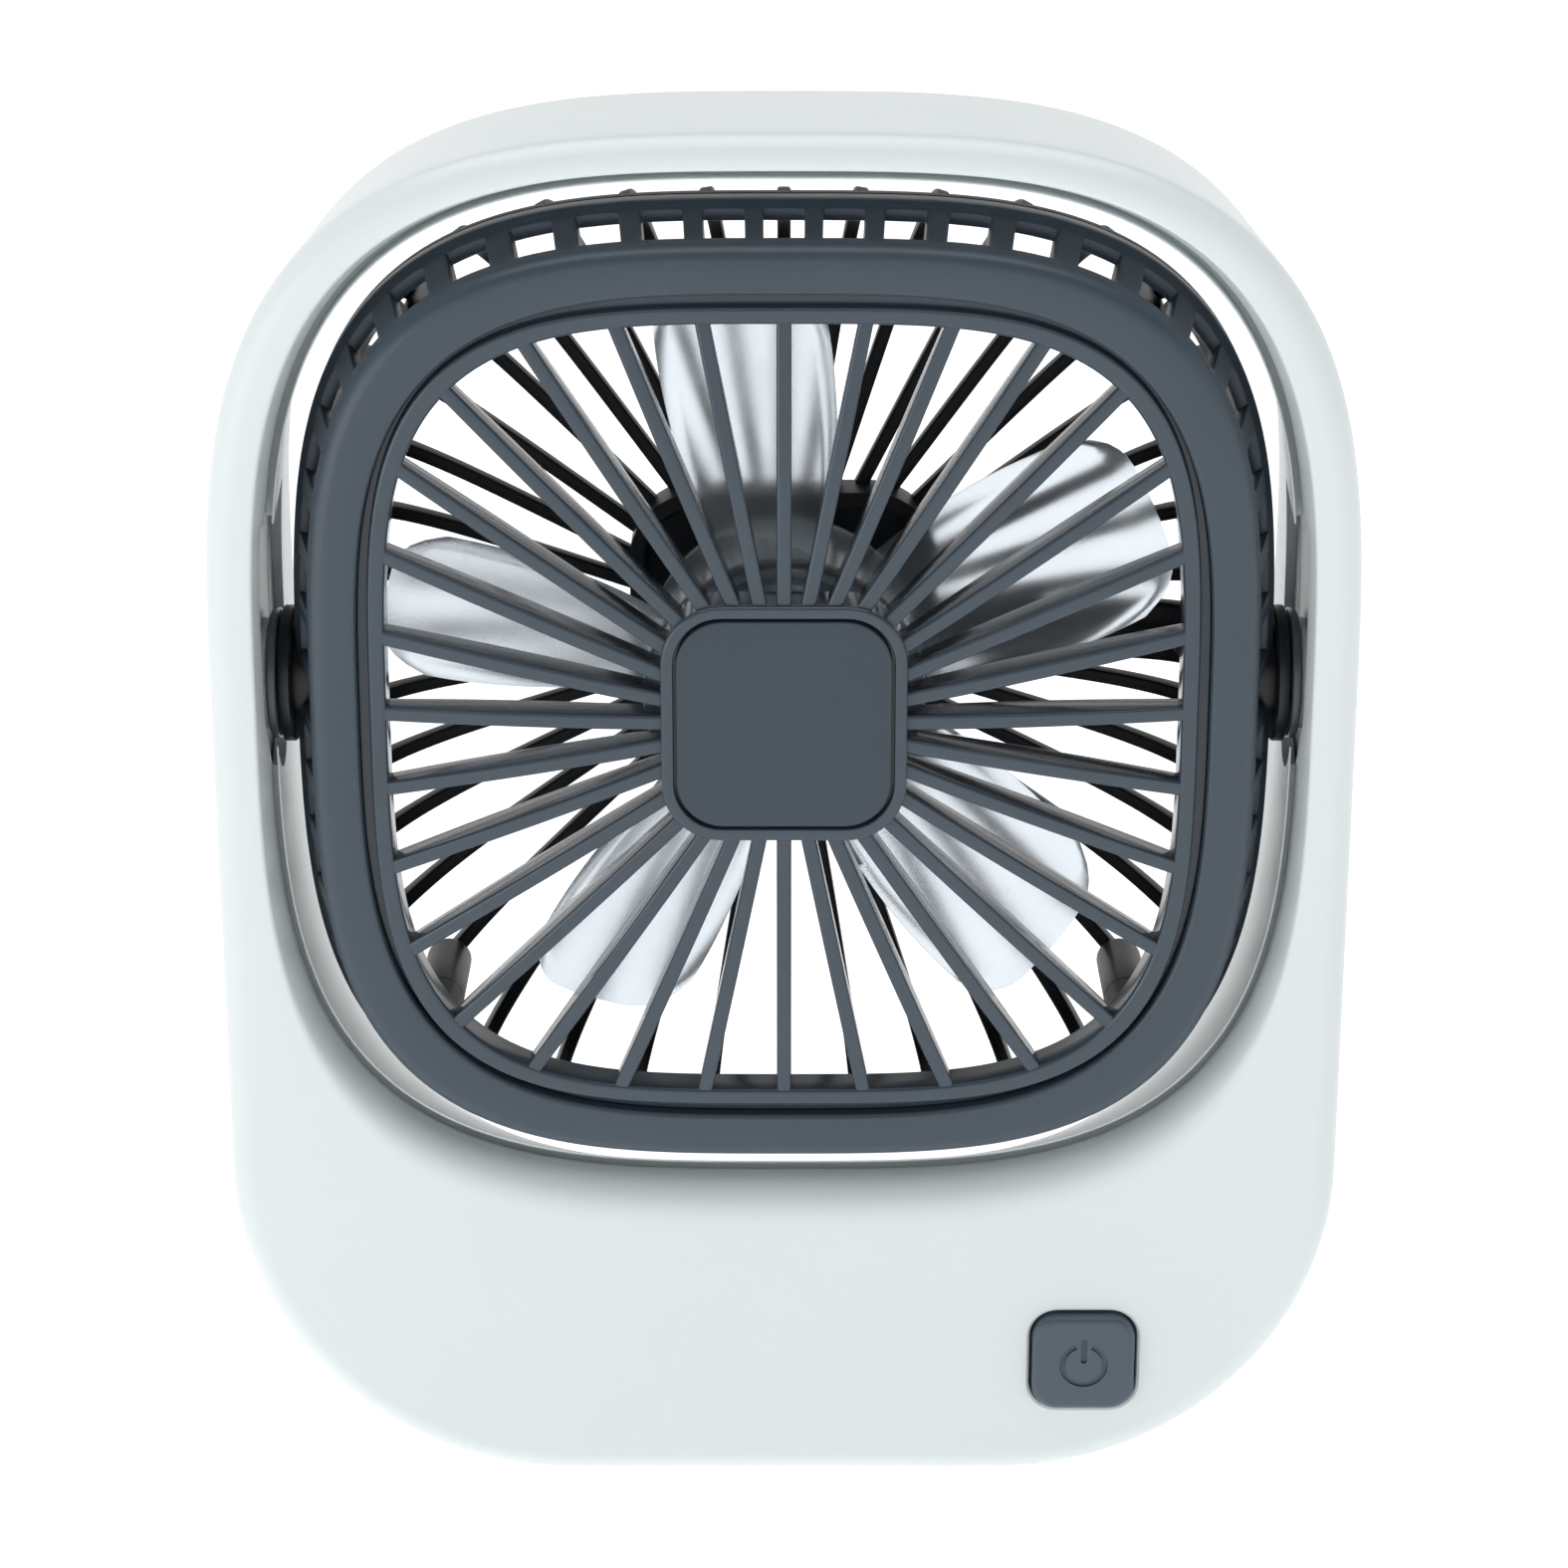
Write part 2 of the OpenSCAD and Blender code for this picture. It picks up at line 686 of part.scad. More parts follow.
module motor_bearings() {
    color("#b08d57") in_place() {
        for (d = [[can_front - 0.9, can_front + 0.8], [can_back, can_back + 1.4]]) difference() {
            rod_y(1.7, d[0], d[1]);
            rod_y(shaft_r + 0.05, d[0] - 1, d[1] + 1);
        }
    }
}

module motor_screws() {
    color("#9a9da0") in_place() for (x = [-screw_x, screw_x]) {
        rod_y(1.6, head_d - 0.5, head_d - 0.1, x, 0);
        rod_y(0.7, can_back + 0.6, head_d - 0.5, x, 0);
    }
}

// Two-core lead from the motor, along the hollow arm and out through the right trunnion
module motor_lead_head() {
    color("#26282a") in_place() {
        rod_x(0.8, 47, 59.6);
        hull() {
            translate([47, pivot_d, 0]) sphere(r = 0.8, $fn = 16);
            translate([44.6, 30.2, 0]) sphere(r = 0.8, $fn = 16);
        }
        hull() {
            translate([44.6, 30.2, 0]) sphere(r = 0.8, $fn = 16);
            translate([12.5, 32.3, 0]) sphere(r = 0.8, $fn = 16);
        }
    }
}

module impeller() {
    color("#dfeaf3", 0.45) in_place() {
        difference() {
            union() {
                difference() {
                    rod_y(impeller_hub_r, 10, 28);
                    rod_y(impeller_hub_r - 1.3, 11.6, 29);
                }
                rod_y(3, 11, 15);
            }
            rod_y(shaft_r, shaft_front, 16);
        }
        for (i = [0:blades - 1]) rotate([0, -25 - 360 * i / blades, 0]) blade();
    }
}

// Half the angle a blade takes up at radius r
function blade_half_angle(r) = 24 - 12 * (r - impeller_hub_r) / (tip_r - impeller_hub_r);

// Blade with a round tip, pitched about its own long axis
module blade() {
    root_r = impeller_hub_r - 0.6;
    across = 6;
    along = 6;
    thick = 1.2;
    surface = [for (v = [0:along], u = [0:across])
        let (e = 2 * u / across - 1,
             r = root_r + (tip_r - 4.5 * pow(abs(e), 6) - root_r) * v / along,
             a = e * blade_half_angle(r), d = 19 + e * (7.4 - 2.6 * v / along))
        [r * cos(a), d, r * sin(a)]];
    row = across + 1;
    last = len(surface);
    top = [for (p = surface) p - [0, thick / 2, 0]];
    bottom = [for (p = surface) p + [0, thick / 2, 0]];
    edge = concat([for (u = [0:across - 1]) u], [for (v = [0:along - 1]) v * row + across],
                  [for (u = [across:-1:1]) along * row + u], [for (v = [along:-1:1]) v * row]);
    skins = [for (v = [0:along - 1], u = [0:across - 1])
        let (a = v * row + u, b = a + 1, c = a + row + 1, e = a + row)
        for (f = [[a, b, c], [a, c, e]]) f];
    sides = [for (i = [0:len(edge) - 1]) let (a = edge[i], b = edge[(i + 1) % len(edge)])
        for (f = [[b, a, a + last], [b, a + last, b + last]]) f];
    flipped = [for (f = skins) [f[2] + last, f[1] + last, f[0] + last]];
    polyhedron(points = concat(top, bottom), faces = concat(skins, sides, flipped));
}

module motor_shaft() {
    color("#d5d8da") in_place() rod_y(shaft_r, shaft_front, can_back + 1.3);
}

module motor_armature() {
    color("#a9683a") in_place() difference() {
        union() {
            rod_y(3.2, 18.2, 30);
            for (a = [0, 120, 240]) rotate([0, a, 0]) intersection() {
                rod_y(8.2, 19.5, 28);
                union() {
                    box([-1.6, 19.5, 0], [1.6, 28, 9]);
                    box([-5.2, 19.5, 6.2], [5.2, 28, 9]);
                }
            }
        }
        rod_y(shaft_r, 17, 31);
    }
}

module power_button() {
    front = proud - button_out;
    color("#586470") in_place() translate([button_x, 0, button_z]) difference() {
        union() {
            soft_plate(button_w, button_w, 2.9, front, proud + 2.1);
            soft_plate(button_w + 2.4, button_w + 2.4, 3.6, proud + 2.1, proud + 3.1);
            rod_y(1.8, proud + 3.1, 12);
        }
        power_mark(front);
    }
}

// Engraved power mark: an open ring with a bar through its gap
module power_mark(front) {
    ring_r = 2.45;
    stroke = 0.65;
    depth = 0.3;
    difference() {
        rod_y(ring_r + stroke / 2, front - 1, front + depth);
        rod_y(ring_r - stroke / 2, front - 2, front + depth + 1);
        box([-0.9, front - 2, 0], [0.9, front + 1, 4]);
    }
    box([-stroke / 2, front - 1, 0], [stroke / 2, front + depth, 3.2]);
}

module switch_plunger() {
    color("#3c3f42") in_place() rod_y(1.7, 12, board_d - 1 - button_travel - 0.2, button_x, button_z);
}

front_shell();
rear_cover();
rubber_feet();
housing_screws();
left_pivot_bush();
right_pivot_bush();
battery_cell();
battery_holder();
control_board();
tact_switch();
charging_board();
usb_port();
charge_light_pipe();
board_screws();
motor_lead_frame();
head_front_bezel();
front_grille();
hub_cap();
head_rear_shell();
head_screws();
left_trunnion();
right_trunnion();
trunnion_clips();
motor_can();
motor_end_cap();
motor_magnets();
motor_bearings();
motor_screws();
motor_lead_head();
impeller();
motor_shaft();
motor_armature();
power_button();
switch_plunger();
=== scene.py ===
"""Looks of the small tilting desk fan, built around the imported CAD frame.

Shapes are worked out in millimetres in the head's own coordinates: x to the right, d backwards
from the face of the hub cap, and z up from the tilt axis. place() turns them into the row frame.
"""
import json
import math

import bmesh
import bpy
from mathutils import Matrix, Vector


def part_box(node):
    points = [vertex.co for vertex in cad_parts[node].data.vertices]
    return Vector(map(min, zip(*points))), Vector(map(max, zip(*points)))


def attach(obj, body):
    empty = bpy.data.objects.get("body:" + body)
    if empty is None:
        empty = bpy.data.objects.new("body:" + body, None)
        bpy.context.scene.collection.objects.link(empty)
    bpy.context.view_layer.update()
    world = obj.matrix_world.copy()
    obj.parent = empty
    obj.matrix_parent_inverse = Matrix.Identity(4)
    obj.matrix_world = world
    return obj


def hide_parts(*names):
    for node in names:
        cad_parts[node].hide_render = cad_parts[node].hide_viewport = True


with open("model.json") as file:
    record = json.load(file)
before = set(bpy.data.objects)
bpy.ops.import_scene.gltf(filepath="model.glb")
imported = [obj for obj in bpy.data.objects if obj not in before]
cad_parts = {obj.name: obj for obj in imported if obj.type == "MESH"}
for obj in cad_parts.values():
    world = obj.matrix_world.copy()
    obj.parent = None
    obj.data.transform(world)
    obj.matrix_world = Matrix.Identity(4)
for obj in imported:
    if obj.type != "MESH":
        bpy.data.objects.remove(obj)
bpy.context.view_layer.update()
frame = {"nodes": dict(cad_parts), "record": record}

MM = 0.001
joints = {j["name"]: j for j in frame["record"]["behaviour"]["joints"]}
AXIS = Vector(joints["head_tilt"]["pos_m"])
FACE_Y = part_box("hub_cap")[0].y


def place(x, d, z):
    """A point in the row frame, in metres, from head coordinates in millimetres."""
    return Vector((x * MM, FACE_Y + d * MM, AXIS.z + z * MM))


def head_box(node):
    """A CAD node's box in head coordinates: (x, d, z) of both corners, in millimetres."""
    out = []
    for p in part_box(node):
        out.append(Vector((p.x / MM, (p.y - FACE_Y) / MM, (p.z - AXIS.z) / MM)))
    return out


# ---------------------------------------------------------------- sizes, in millimetres
SHELL_LO, SHELL_HI = head_box("front_shell")
HALF_W = SHELL_HI.x
AXIS_DOWN = -SHELL_LO.z
FRONT_D = SHELL_LO.y
REAR_D = SHELL_HI.y
LOOP_D = 35.0
LEAN = (REAR_D - FRONT_D - LOOP_D) / (SHELL_HI.z - SHELL_LO.z)
CORNER_N = 3.25
FOOT_CORNER_R = 38.0
DRAFT = 1.3
WALL = 1.5
FRONT_ROUND = 3.0
REAR_ROUND = 0.7
OPEN_W, OPEN_UP, OPEN_DOWN, OPEN_N = 55.6, 57.2, 55.6, 3.3
CREST_D = 9.6
LIP_SIDE, LIP_BOTTOM = 2.1, 6.1
LIP_EDGE = 0.45
LIP_T, LIP_SIDE_T = 2.4, 2.9
LIP_END = 9.3
GROOVE_OUT, GROOVE_IN, GROOVE_END = 0.95, 0.2, 12.8
TUNNEL_SIDE, TUNNEL_UP = 2.4, 0.7
SLEEVE_SIDE, SLEEVE_TOP = 0.065, 0.019
FLOOR_SLOPE = math.radians(25)
FLOOR_DROP = (REAR_D - 2 - CREST_D) * math.tan(FLOOR_SLOPE)
SEAM = 0.15
HEAD_LO, HEAD_HI = head_box("head_front_bezel")
HEAD_W = HEAD_HI.x
LOW = -HEAD_LO.z / HEAD_W
HEAD_N = 3.33
RING_W, RING_N = 43.0, 3.67
SPOKES, SLOTS, RIBS = 32, 52, 40
HUB_W = 26.5
HUB_N = 4.475
SPLIT_D = 18.5
TIP_R = 45.0
IMPELLER_R = 15.5
BLADES = 5
# angles, in degrees, above which an edge is shaded sharp
CRISP, SHARP, BLUNT = 30, 35, 40
# room between faces that would otherwise lie on each other
AIR = 0.05


# ---------------------------------------------------------------- outlines
def oval(a, b, n, t):
    """Radius of a squared oval with half axes a and b, at polar angle t."""
    return 1 / ((abs(math.cos(t)) / a) ** n + (abs(math.sin(t)) / b) ** n) ** (1 / n)


def head_r(a, n, t):
    """Outline of the head; its lower half is slightly taller than its upper half."""
    return oval(a, a if math.sin(t) >= 0 else a * LOW, n, t)


def rear_at(z):
    """Depth of the leaning rear face at height z."""
    return REAR_D - LEAN * (z + AXIS_DOWN)


def housing_r(inset, lift, t):
    """Outline of the housing: a squarish top on a base with round lower corners."""
    w, down, r = HALF_W - inset, AXIS_DOWN - lift, FOOT_CORNER_R - inset
    cx, cz = w - r, down - r
    c, s = abs(math.cos(t)), abs(math.sin(t))
    if math.sin(t) >= 0:
        return oval(w, w, CORNER_N, t)
    if w * s <= cz * c:
        return w / c
    if down * c <= cx * s:
        return down / s
    b = cx * c + cz * s
    return b + math.sqrt(b * b - cx * cx - cz * cz + r * r)


def opening_r(side, up, down, t):
    """Outline of the loop's opening, grown by side, up and down."""
    return oval(OPEN_W + side, OPEN_UP + up if math.sin(t) >= 0 else OPEN_DOWN + down, OPEN_N, t)


def turn(steps):
    """Angles of a full turn in equal steps."""
    return [2 * math.pi * i / steps for i in range(steps)]


def ring_of(radius, depth, steps):
    """Points (x, d, z) round the fan's axis; radius and depth are functions of the angle."""
    points = []
    for t in turn(steps):
        r = radius(t)
        points.append((r * math.cos(t), depth(t, r), r * math.sin(t)))
    return points


def housing_ring(inset, d, steps):
    return ring_of(lambda t: housing_r(inset, inset, t), lambda t, r: d, steps)


def leaning(back):
    """Depth function of a plane that lies back millimetres in front of the rear face."""
    return lambda t, r: rear_at(r * math.sin(t)) - back


def opening_ring(side, up, down, d, steps):
    return ring_of(lambda t: opening_r(side, up, down, t), lambda t, r: d, steps)


def sleeve_ring(grow, d, steps):
    """Outline of the opening's wall behind its narrowest line."""
    run = d - CREST_D
    return opening_ring(grow + SLEEVE_SIDE * run, grow + SLEEVE_TOP * run,
                        grow + math.tan(FLOOR_SLOPE) * run, d, steps)


def head_ring(a, n, d, steps):
    return ring_of(lambda t: head_r(a, n, t), lambda t, r: d, steps)


def quarter(steps):
    """Sine and cosine pairs of a quarter turn, both ends included."""
    return [(math.sin(math.pi / 2 * i / steps), math.cos(math.pi / 2 * i / steps))
            for i in range(steps + 1)]


def shifted(profile, depth):
    """A (radius, depth) profile moved backwards by depth."""
    return [(r, depth + d) for r, d in profile]


# ---------------------------------------------------------------- mesh helpers
def mesh_object(name, points, faces, material, body, sharp=SHARP, nodes=()):
    """A closed, smooth-shaded piece from head coordinates, riding on a body."""
    mesh = bpy.data.meshes.new(name)
    mesh.from_pydata([place(*p) for p in points], [], faces)
    obj = bpy.data.objects.new(name, mesh)
    bpy.context.scene.collection.objects.link(obj)
    finish_mesh(obj, material, sharp)
    return settle(obj, body, nodes)


def finish_mesh(obj, material, sharp=SHARP):
    """Outward normals, smooth shading that breaks at sharp edges, and one material."""
    bm = bmesh.new()
    bm.from_mesh(obj.data)
    bmesh.ops.remove_doubles(bm, verts=bm.verts, dist=1e-7)
    bmesh.ops.recalc_face_normals(bm, faces=bm.faces)
    bm.to_mesh(obj.data)
    bm.free()
    obj.data.shade_smooth()
    obj.data.set_sharp_from_angle(angle=math.radians(sharp))
    obj.data.materials.clear()
    obj.data.materials.append(material)


def settle(obj, body, nodes=()):
    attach(obj, body)
    if nodes:
        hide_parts(*nodes)
    return obj


class Builder:
    """Collects the points and faces of several closed solids for one piece."""

    def __init__(self):
        self.points = []
        self.faces = []

    def add(self, points, faces):
        base = len(self.points)
        self.points += points
        self.faces += [tuple(base + i for i in f) for f in faces]

    def skin(self, rings):
        """Closed ring-shaped skin; the last ring of points joins the first."""
        n = len(rings[0])
        m = len(rings)
        faces = []
        for i in range(m):
            for j in range(n):
                k, after = (i + 1) % m, (j + 1) % n
                faces.append((i * n + j, i * n + after, k * n + after, k * n + j))
        self.add([p for ring in rings for p in ring], faces)

    def stack(self, rings):
        """Closed solid through loops of points, capped with a face at both ends."""
        n = len(rings[0])
        faces = []
        for i in range(len(rings) - 1):
            for j in range(n):
                after = (j + 1) % n
                faces.append((i * n + j, i * n + after, (i + 1) * n + after, (i + 1) * n + j))
        faces.append(tuple(range(n)))
        faces.append(tuple((len(rings) - 1) * n + j for j in reversed(range(n))))
        self.add([p for ring in rings for p in ring], faces)

    def turned(self, profile, steps, x=0.0, z=0.0):
        """Solid of revolution about a line along d; profile is [radius, d] pairs, ends on the line."""
        rings = []
        for r, d in profile:
            rings.append([(x + max(r, 1e-3) * math.cos(t), d, z + max(r, 1e-3) * math.sin(t))
                          for t in turn(steps)])
        self.stack(rings)

    def turned_tube(self, profile, steps, x=0.0, z=0.0):
        """Ring of revolution about a line along d; profile is a closed [radius, d] outline."""
        self.skin([[(x + r * math.cos(t), d, z + r * math.sin(t)) for t in turn(steps)]
                   for r, d in profile])

    def sideways(self, profile, steps, side):
        """Ring of revolution about the tilt axis; profile is a closed [radius, x] outline."""
        self.skin([[(side * x, SPLIT_D + r * math.cos(t), r * math.sin(t)) for t in turn(steps)]
                   for r, x in profile])

    def object(self, name, material, body, slot, sharp=SHARP, nodes=()):
        return mesh_object(name, self.points, self.faces, material, body, sharp, nodes)


def soft_square(w, h, r, steps=8):
    """Outline of a rectangle with round corners, as (x, z) pairs."""
    out = []
    for k, (cx, cz) in enumerate(((1, 1), (-1, 1), (-1, -1), (1, -1))):
        for i in range(steps + 1):
            a = math.pi / 2 * (k + i / steps)
            out.append((cx * (w / 2 - r) + r * math.cos(a), cz * (h / 2 - r) + r * math.sin(a)))
    return out


def plate_rings(w, h, r, levels, x=0.0, z=0.0, steps=8):
    """Loops of a rounded plate; levels is (inset, d) pairs from the front to the back."""
    rings = []
    for inset, d in levels:
        outline = soft_square(w - 2 * inset, h - 2 * inset, max(r - inset, 0.05), steps)
        rings.append([(x + px, d, z + pz) for px, pz in outline])
    return rings


def cut(obj, builders):
    """Takes closed tool solids out of a piece, exactly."""
    for tool in builders:
        mesh = bpy.data.meshes.new("tool")
        mesh.from_pydata([place(*p) for p in tool.points], [], tool.faces)
        other = bpy.data.objects.new("tool", mesh)
        bpy.context.scene.collection.objects.link(other)
        bm = bmesh.new()
        bm.from_mesh(mesh)
        bmesh.ops.recalc_face_normals(bm, faces=bm.faces)
        bm.to_mesh(mesh)
        bm.free()
        modifier = obj.modifiers.new("cut", "BOOLEAN")
        modifier.operation = "DIFFERENCE"
        modifier.solver = "EXACT"
        modifier.object = other
        bake(obj)
        bpy.data.objects.remove(other)
        bpy.data.meshes.remove(mesh)


def bake(obj):
    """Replaces the piece's mesh by what its modifiers make of it."""
    bpy.context.view_layer.update()
    graph = bpy.context.evaluated_depsgraph_get()
    mesh = bpy.data.meshes.new_from_object(obj.evaluated_get(graph))
    old = obj.data
    obj.modifiers.clear()
    obj.data = mesh
    mesh.name = obj.name
    bpy.data.meshes.remove(old)


# ---------------------------------------------------------------- materials
PLASTIC_IOR, CLEAR_IOR = 1.5, 1.46


def srgb(r, g, b):
    """Linear colour from 8-bit display values."""
    def lin(v):
        v /= 255
        return v / 12.92 if v <= 0.04045 else ((v + 0.055) / 1.055) ** 2.4
    return (lin(r), lin(g), lin(b), 1)


def shade(colour, factor):
    return tuple(min(1, c * factor) for c in colour[:3]) + (1,)


class Shader:
    """Small wrapper that builds a node material around one Principled BSDF."""

    def __init__(self, name):
        self.material = bpy.data.materials.new(name)
        self.material.use_nodes = True
        self.tree = self.material.node_tree
        self.surface = self.tree.nodes["Principled BSDF"]
        self.coords = self.tree.nodes.new("ShaderNodeTexCoord").outputs["Object"]

    def node(self, kind, **values):
        node = self.tree.nodes.new(kind)
        for key, value in values.items():
            if key in node.inputs:
                node.inputs[key].default_value = value
            else:
                setattr(node, key, value)
        return node

    def link(self, a, b):
        self.tree.links.new(a, b)

    def noise(self, scale, detail=3.0, rough=0.5, stretch=(1, 1, 1)):
        mapping = self.node("ShaderNodeMapping")
        mapping.inputs["Scale"].default_value = stretch
        self.link(self.coords, mapping.inputs["Vector"])
        noise = self.node("ShaderNodeTexNoise", Scale=scale, Detail=detail, Roughness=rough)
        self.link(mapping.outputs["Vector"], noise.inputs["Vector"])
        return noise.outputs["Fac"]

    def spread(self, value, low, high, start=0.3, end=0.7):
        """Maps a noise value to low..high."""
        ranged = self.node("ShaderNodeMapRange")
        ranged.inputs["From Min"].default_value = start
        ranged.inputs["From Max"].default_value = end
        ranged.inputs["To Min"].default_value = low
        ranged.inputs["To Max"].default_value = high
        self.link(value, ranged.inputs["Value"])
        return ranged.outputs["Result"]

    def mix(self, factor, a, b):
        """Colour between a and b by factor; a and b are colours or outputs."""
        mix = self.node("ShaderNodeMix", data_type="RGBA")
        self.link(factor, mix.inputs["Factor"])
        for value, socket in ((a, mix.inputs[6]), (b, mix.inputs[7])):
            if isinstance(value, tuple):
                socket.default_value = value
            else:
                self.link(value, socket)
        return mix.outputs[2]

    def bump(self, height, strength, distance, below=None):
        bump = self.node("ShaderNodeBump", Strength=strength, Distance=distance)
        self.link(height, bump.inputs["Height"])
        if below:
            self.link(below, bump.inputs["Normal"])
        return bump.outputs["Normal"]

    def put(self, socket, value):
        target = self.surface.inputs[socket]
        if isinstance(value, (tuple, float, int)):
            target.default_value = value
        else:
            self.link(value, target)


def moulded(name, colour, rough, grain=2600, depth=0.00002, strength=0.3, vary=0.05, specular=0.5):
    """Moulded plastic: spark-eroded grain, slow colour drift, flow clouding in the gloss."""
    s = Shader(name)
    drift = s.noise(38, 4.0, 0.55)
    speck = s.noise(900, 2.0, 0.6)
    tone = s.mix(s.spread(drift, 0, 1), shade(colour, 1 - vary), shade(colour, 1 + vary))
    tone = s.mix(s.spread(speck, 0, 0.35, 0.55, 0.8), tone, shade(colour, 1 + 2 * vary))
    s.put("Base Color", tone)
    s.put("Roughness", s.spread(s.noise(120, 5.0, 0.6), rough * 0.95, rough * 1.05))
    fine = s.bump(s.noise(grain, 2.0, 0.5), strength, depth)
    s.put("Normal", s.bump(s.noise(160, 2.0, 0.5), 0.03, 0.00005, fine))
    s.put("IOR", PLASTIC_IOR)
    s.put("Specular IOR Level", specular)
    return s.material


def clear_plastic(name, tint, rough, clarity):
    """Clear polished plastic with faint flow marks and handling haze."""
    s = Shader(name)
    haze = s.noise(70, 4.0, 0.6)
    s.put("Base Color", s.mix(s.spread(haze, 0, 1), shade(tint, 0.96), tint))
    s.put("Roughness", s.spread(s.noise(35, 3.0, 0.6), rough * 0.6, rough * 1.5))
    s.put("Normal", s.bump(s.noise(40, 1.0, 0.4), 0.03, 0.0001))
    s.put("Transmission Weight", clarity)
    s.put("IOR", CLEAR_IOR)
    s.put("Specular IOR Level", 0.5)
    return s.material


def metal(name, colour, rough, brush=(1, 1, 1)):
    """Plated or sintered metal with fine brushing and slight tarnish."""
    s = Shader(name)
    tarnish = s.noise(220, 4.0, 0.6)
    s.put("Base Color", s.mix(s.spread(tarnish, 0, 1), shade(colour, 0.8), colour))
    s.put("Metallic", 1.0)
    s.put("Roughness", s.spread(s.noise(1500, 2.0, 0.5, brush), rough * 0.75, rough * 1.3))
    s.put("Normal", s.bump(s.noise(3500, 2.0, 0.5, brush), 0.25, 0.00001))
    return s.material


def rubber(name, colour):
    """Matt rubber with a cloudy tone and a fine grain."""
    s = Shader(name)
    cloud = s.spread(s.noise(300, 4.0, 0.6), 0, 1)
    s.put("Base Color", s.mix(cloud, shade(colour, 0.8), shade(colour, 1.3)))
    s.put("Roughness", s.spread(s.noise(500, 3.0, 0.5), 0.7, 0.9))
    s.put("Normal", s.bump(s.noise(4000, 2.0, 0.5), 0.5, 0.00003))
    s.put("IOR", PLASTIC_IOR)
    return s.material


def board_mask(name, colour):
    """Solder mask over tracks that show as faint lighter lines."""
    s = Shader(name)
    wave = s.node("ShaderNodeTexWave", Scale=260.0, Distortion=6.0, Detail=2.0)
    s.link(s.coords, wave.inputs["Vector"])
    tracks = s.spread(wave.outputs["Fac"], 0, 1, 0.7, 0.8)
    s.put("Base Color", s.mix(tracks, colour, shade(colour, 1.9)))
    s.put("Roughness", s.spread(s.noise(400, 3.0, 0.5), 0.25, 0.45))
    s.put("Normal", s.bump(tracks, 0.4, 0.00003))
    s.put("IOR", PLASTIC_IOR)
    return s.material


WHITE = moulded("white_plastic", srgb(226, 233, 234), 0.36, 2400, 0.000012, 0.15, 0.004)
GREY = moulded("head_plastic", srgb(58, 71, 82), 0.38, 2600, 0.00002, 0.3, 0.05)
GRILLE = moulded("grille_plastic", srgb(60, 72, 83), 0.17, 2600, 0.000015, 0.2, 0.05)
REAR = moulded("rear_plastic", srgb(20, 22, 25), 0.45, 2600, 0.00002, 0.3, 0.06, 0.22)
CAP = moulded("cap_plastic", srgb(48, 62, 73), 0.44, 3200, 0.00002, 0.35, 0.04)
BUTTON = moulded("button_plastic", srgb(72, 85, 96), 0.4, 2600, 0.00002, 0.3, 0.05)
BLACK = moulded("pivot_plastic", srgb(20, 23, 27), 0.38, 2400, 0.00002, 0.25, 0.08)
BUSH = moulded("bush_plastic", srgb(88, 96, 104), 0.26, 2400, 0.000015, 0.25, 0.05)
INNER_BLACK = moulded("inner_plastic", srgb(42, 44, 48), 0.5, 1800, 0.00003, 0.4, 0.08)
IVORY = moulded("motor_cap_plastic", srgb(226, 221, 208), 0.45, 1800, 0.00002, 0.3, 0.04)
WRAP = moulded("cell_wrap", srgb(84, 138, 186), 0.28, 500, 0.00008, 0.35, 0.05)
CLEAR = clear_plastic("blade_plastic", (0.88, 0.945, 1.0, 1), 0.2, 0.92)
PIPE = clear_plastic("light_pipe_plastic", (0.93, 0.98, 0.93, 1), 0.25, 0.95)
STEEL = metal("zinc_steel", (0.62, 0.63, 0.65, 1), 0.3)
CAN = metal("motor_can_steel", (0.72, 0.73, 0.75, 1), 0.22, (1, 12, 1))
COPPER = metal("winding_copper", (0.78, 0.4, 0.24, 1), 0.3, (1, 30, 1))
MAGNET = metal("magnet_ferrite", (0.12, 0.12, 0.13, 1), 0.6)
BRONZE = metal("bearing_bronze", (0.66, 0.47, 0.26, 1), 0.4)
RUBBER = rubber("foot_rubber", (0.05, 0.052, 0.055, 1))
LEAD = rubber("lead_insulation", (0.02, 0.02, 0.022, 1))
BOARD = board_mask("board_mask", (0.03, 0.16, 0.08, 1))


# ---------------------------------------------------------------- housing
SHELL_STEPS = 288
BODY = "housing"
RECESS_X, RECESS_UP, RECESS_DOWN = 57.9, 19.7, 10.5
RECESS_D0, RECESS_D1 = 8.0, 29.0
RECESS_CUT, RECESS_STEPS = 4, 24
BUSH_R = 4.6
EDGE, EDGE_MID = 0.3, 0.09
WALL_STEPS, ROUND_STEPS, LIP_STEPS = 8, 8, 14
BUTTON_W = 11.7
BUTTON_GAP = 0.3
BUTTON_HOLE_R = 3.2
BUTTON_HOLE = [(-0.45, -0.1), (-0.3, 0.04), (-0.08, 0.2), (0, 0.4), (0, 3)]
USB_Z = -87.0
USB_W, USB_H = 8.9, 3.2
USB_GAP, USB_CORNER = 0.4, 1.2
LIGHT_X, LIGHT_R = 9.0, 1.0
REAR_HOLE_START, REAR_HOLE_END = REAR_D - 12, REAR_D + 3
SCREWS = ((-46, -71), (46, -71), (-22, -87.5), (22, -87.5))
WELL_PROFILE = [(0, -5), (2.5, -5), (2.5, -0.7), (2.9, -0.2), (3.4, 1), (0, 1)]
BOSS_PROFILE = [(3.0, -5.9), (3.0, -1.8), (2.5, -1.8), (2.5, -3.4), (1.2, -3.4), (1.2, -5.9)]
PLATE_END_D, PLATE_OVER, PLATE_UNDER, PLATE_X = 31, 1.4, 1.6, 58.9
PLATE_STEPS = 64
SEAT_R, SEAT_X = 6.2, 56.98
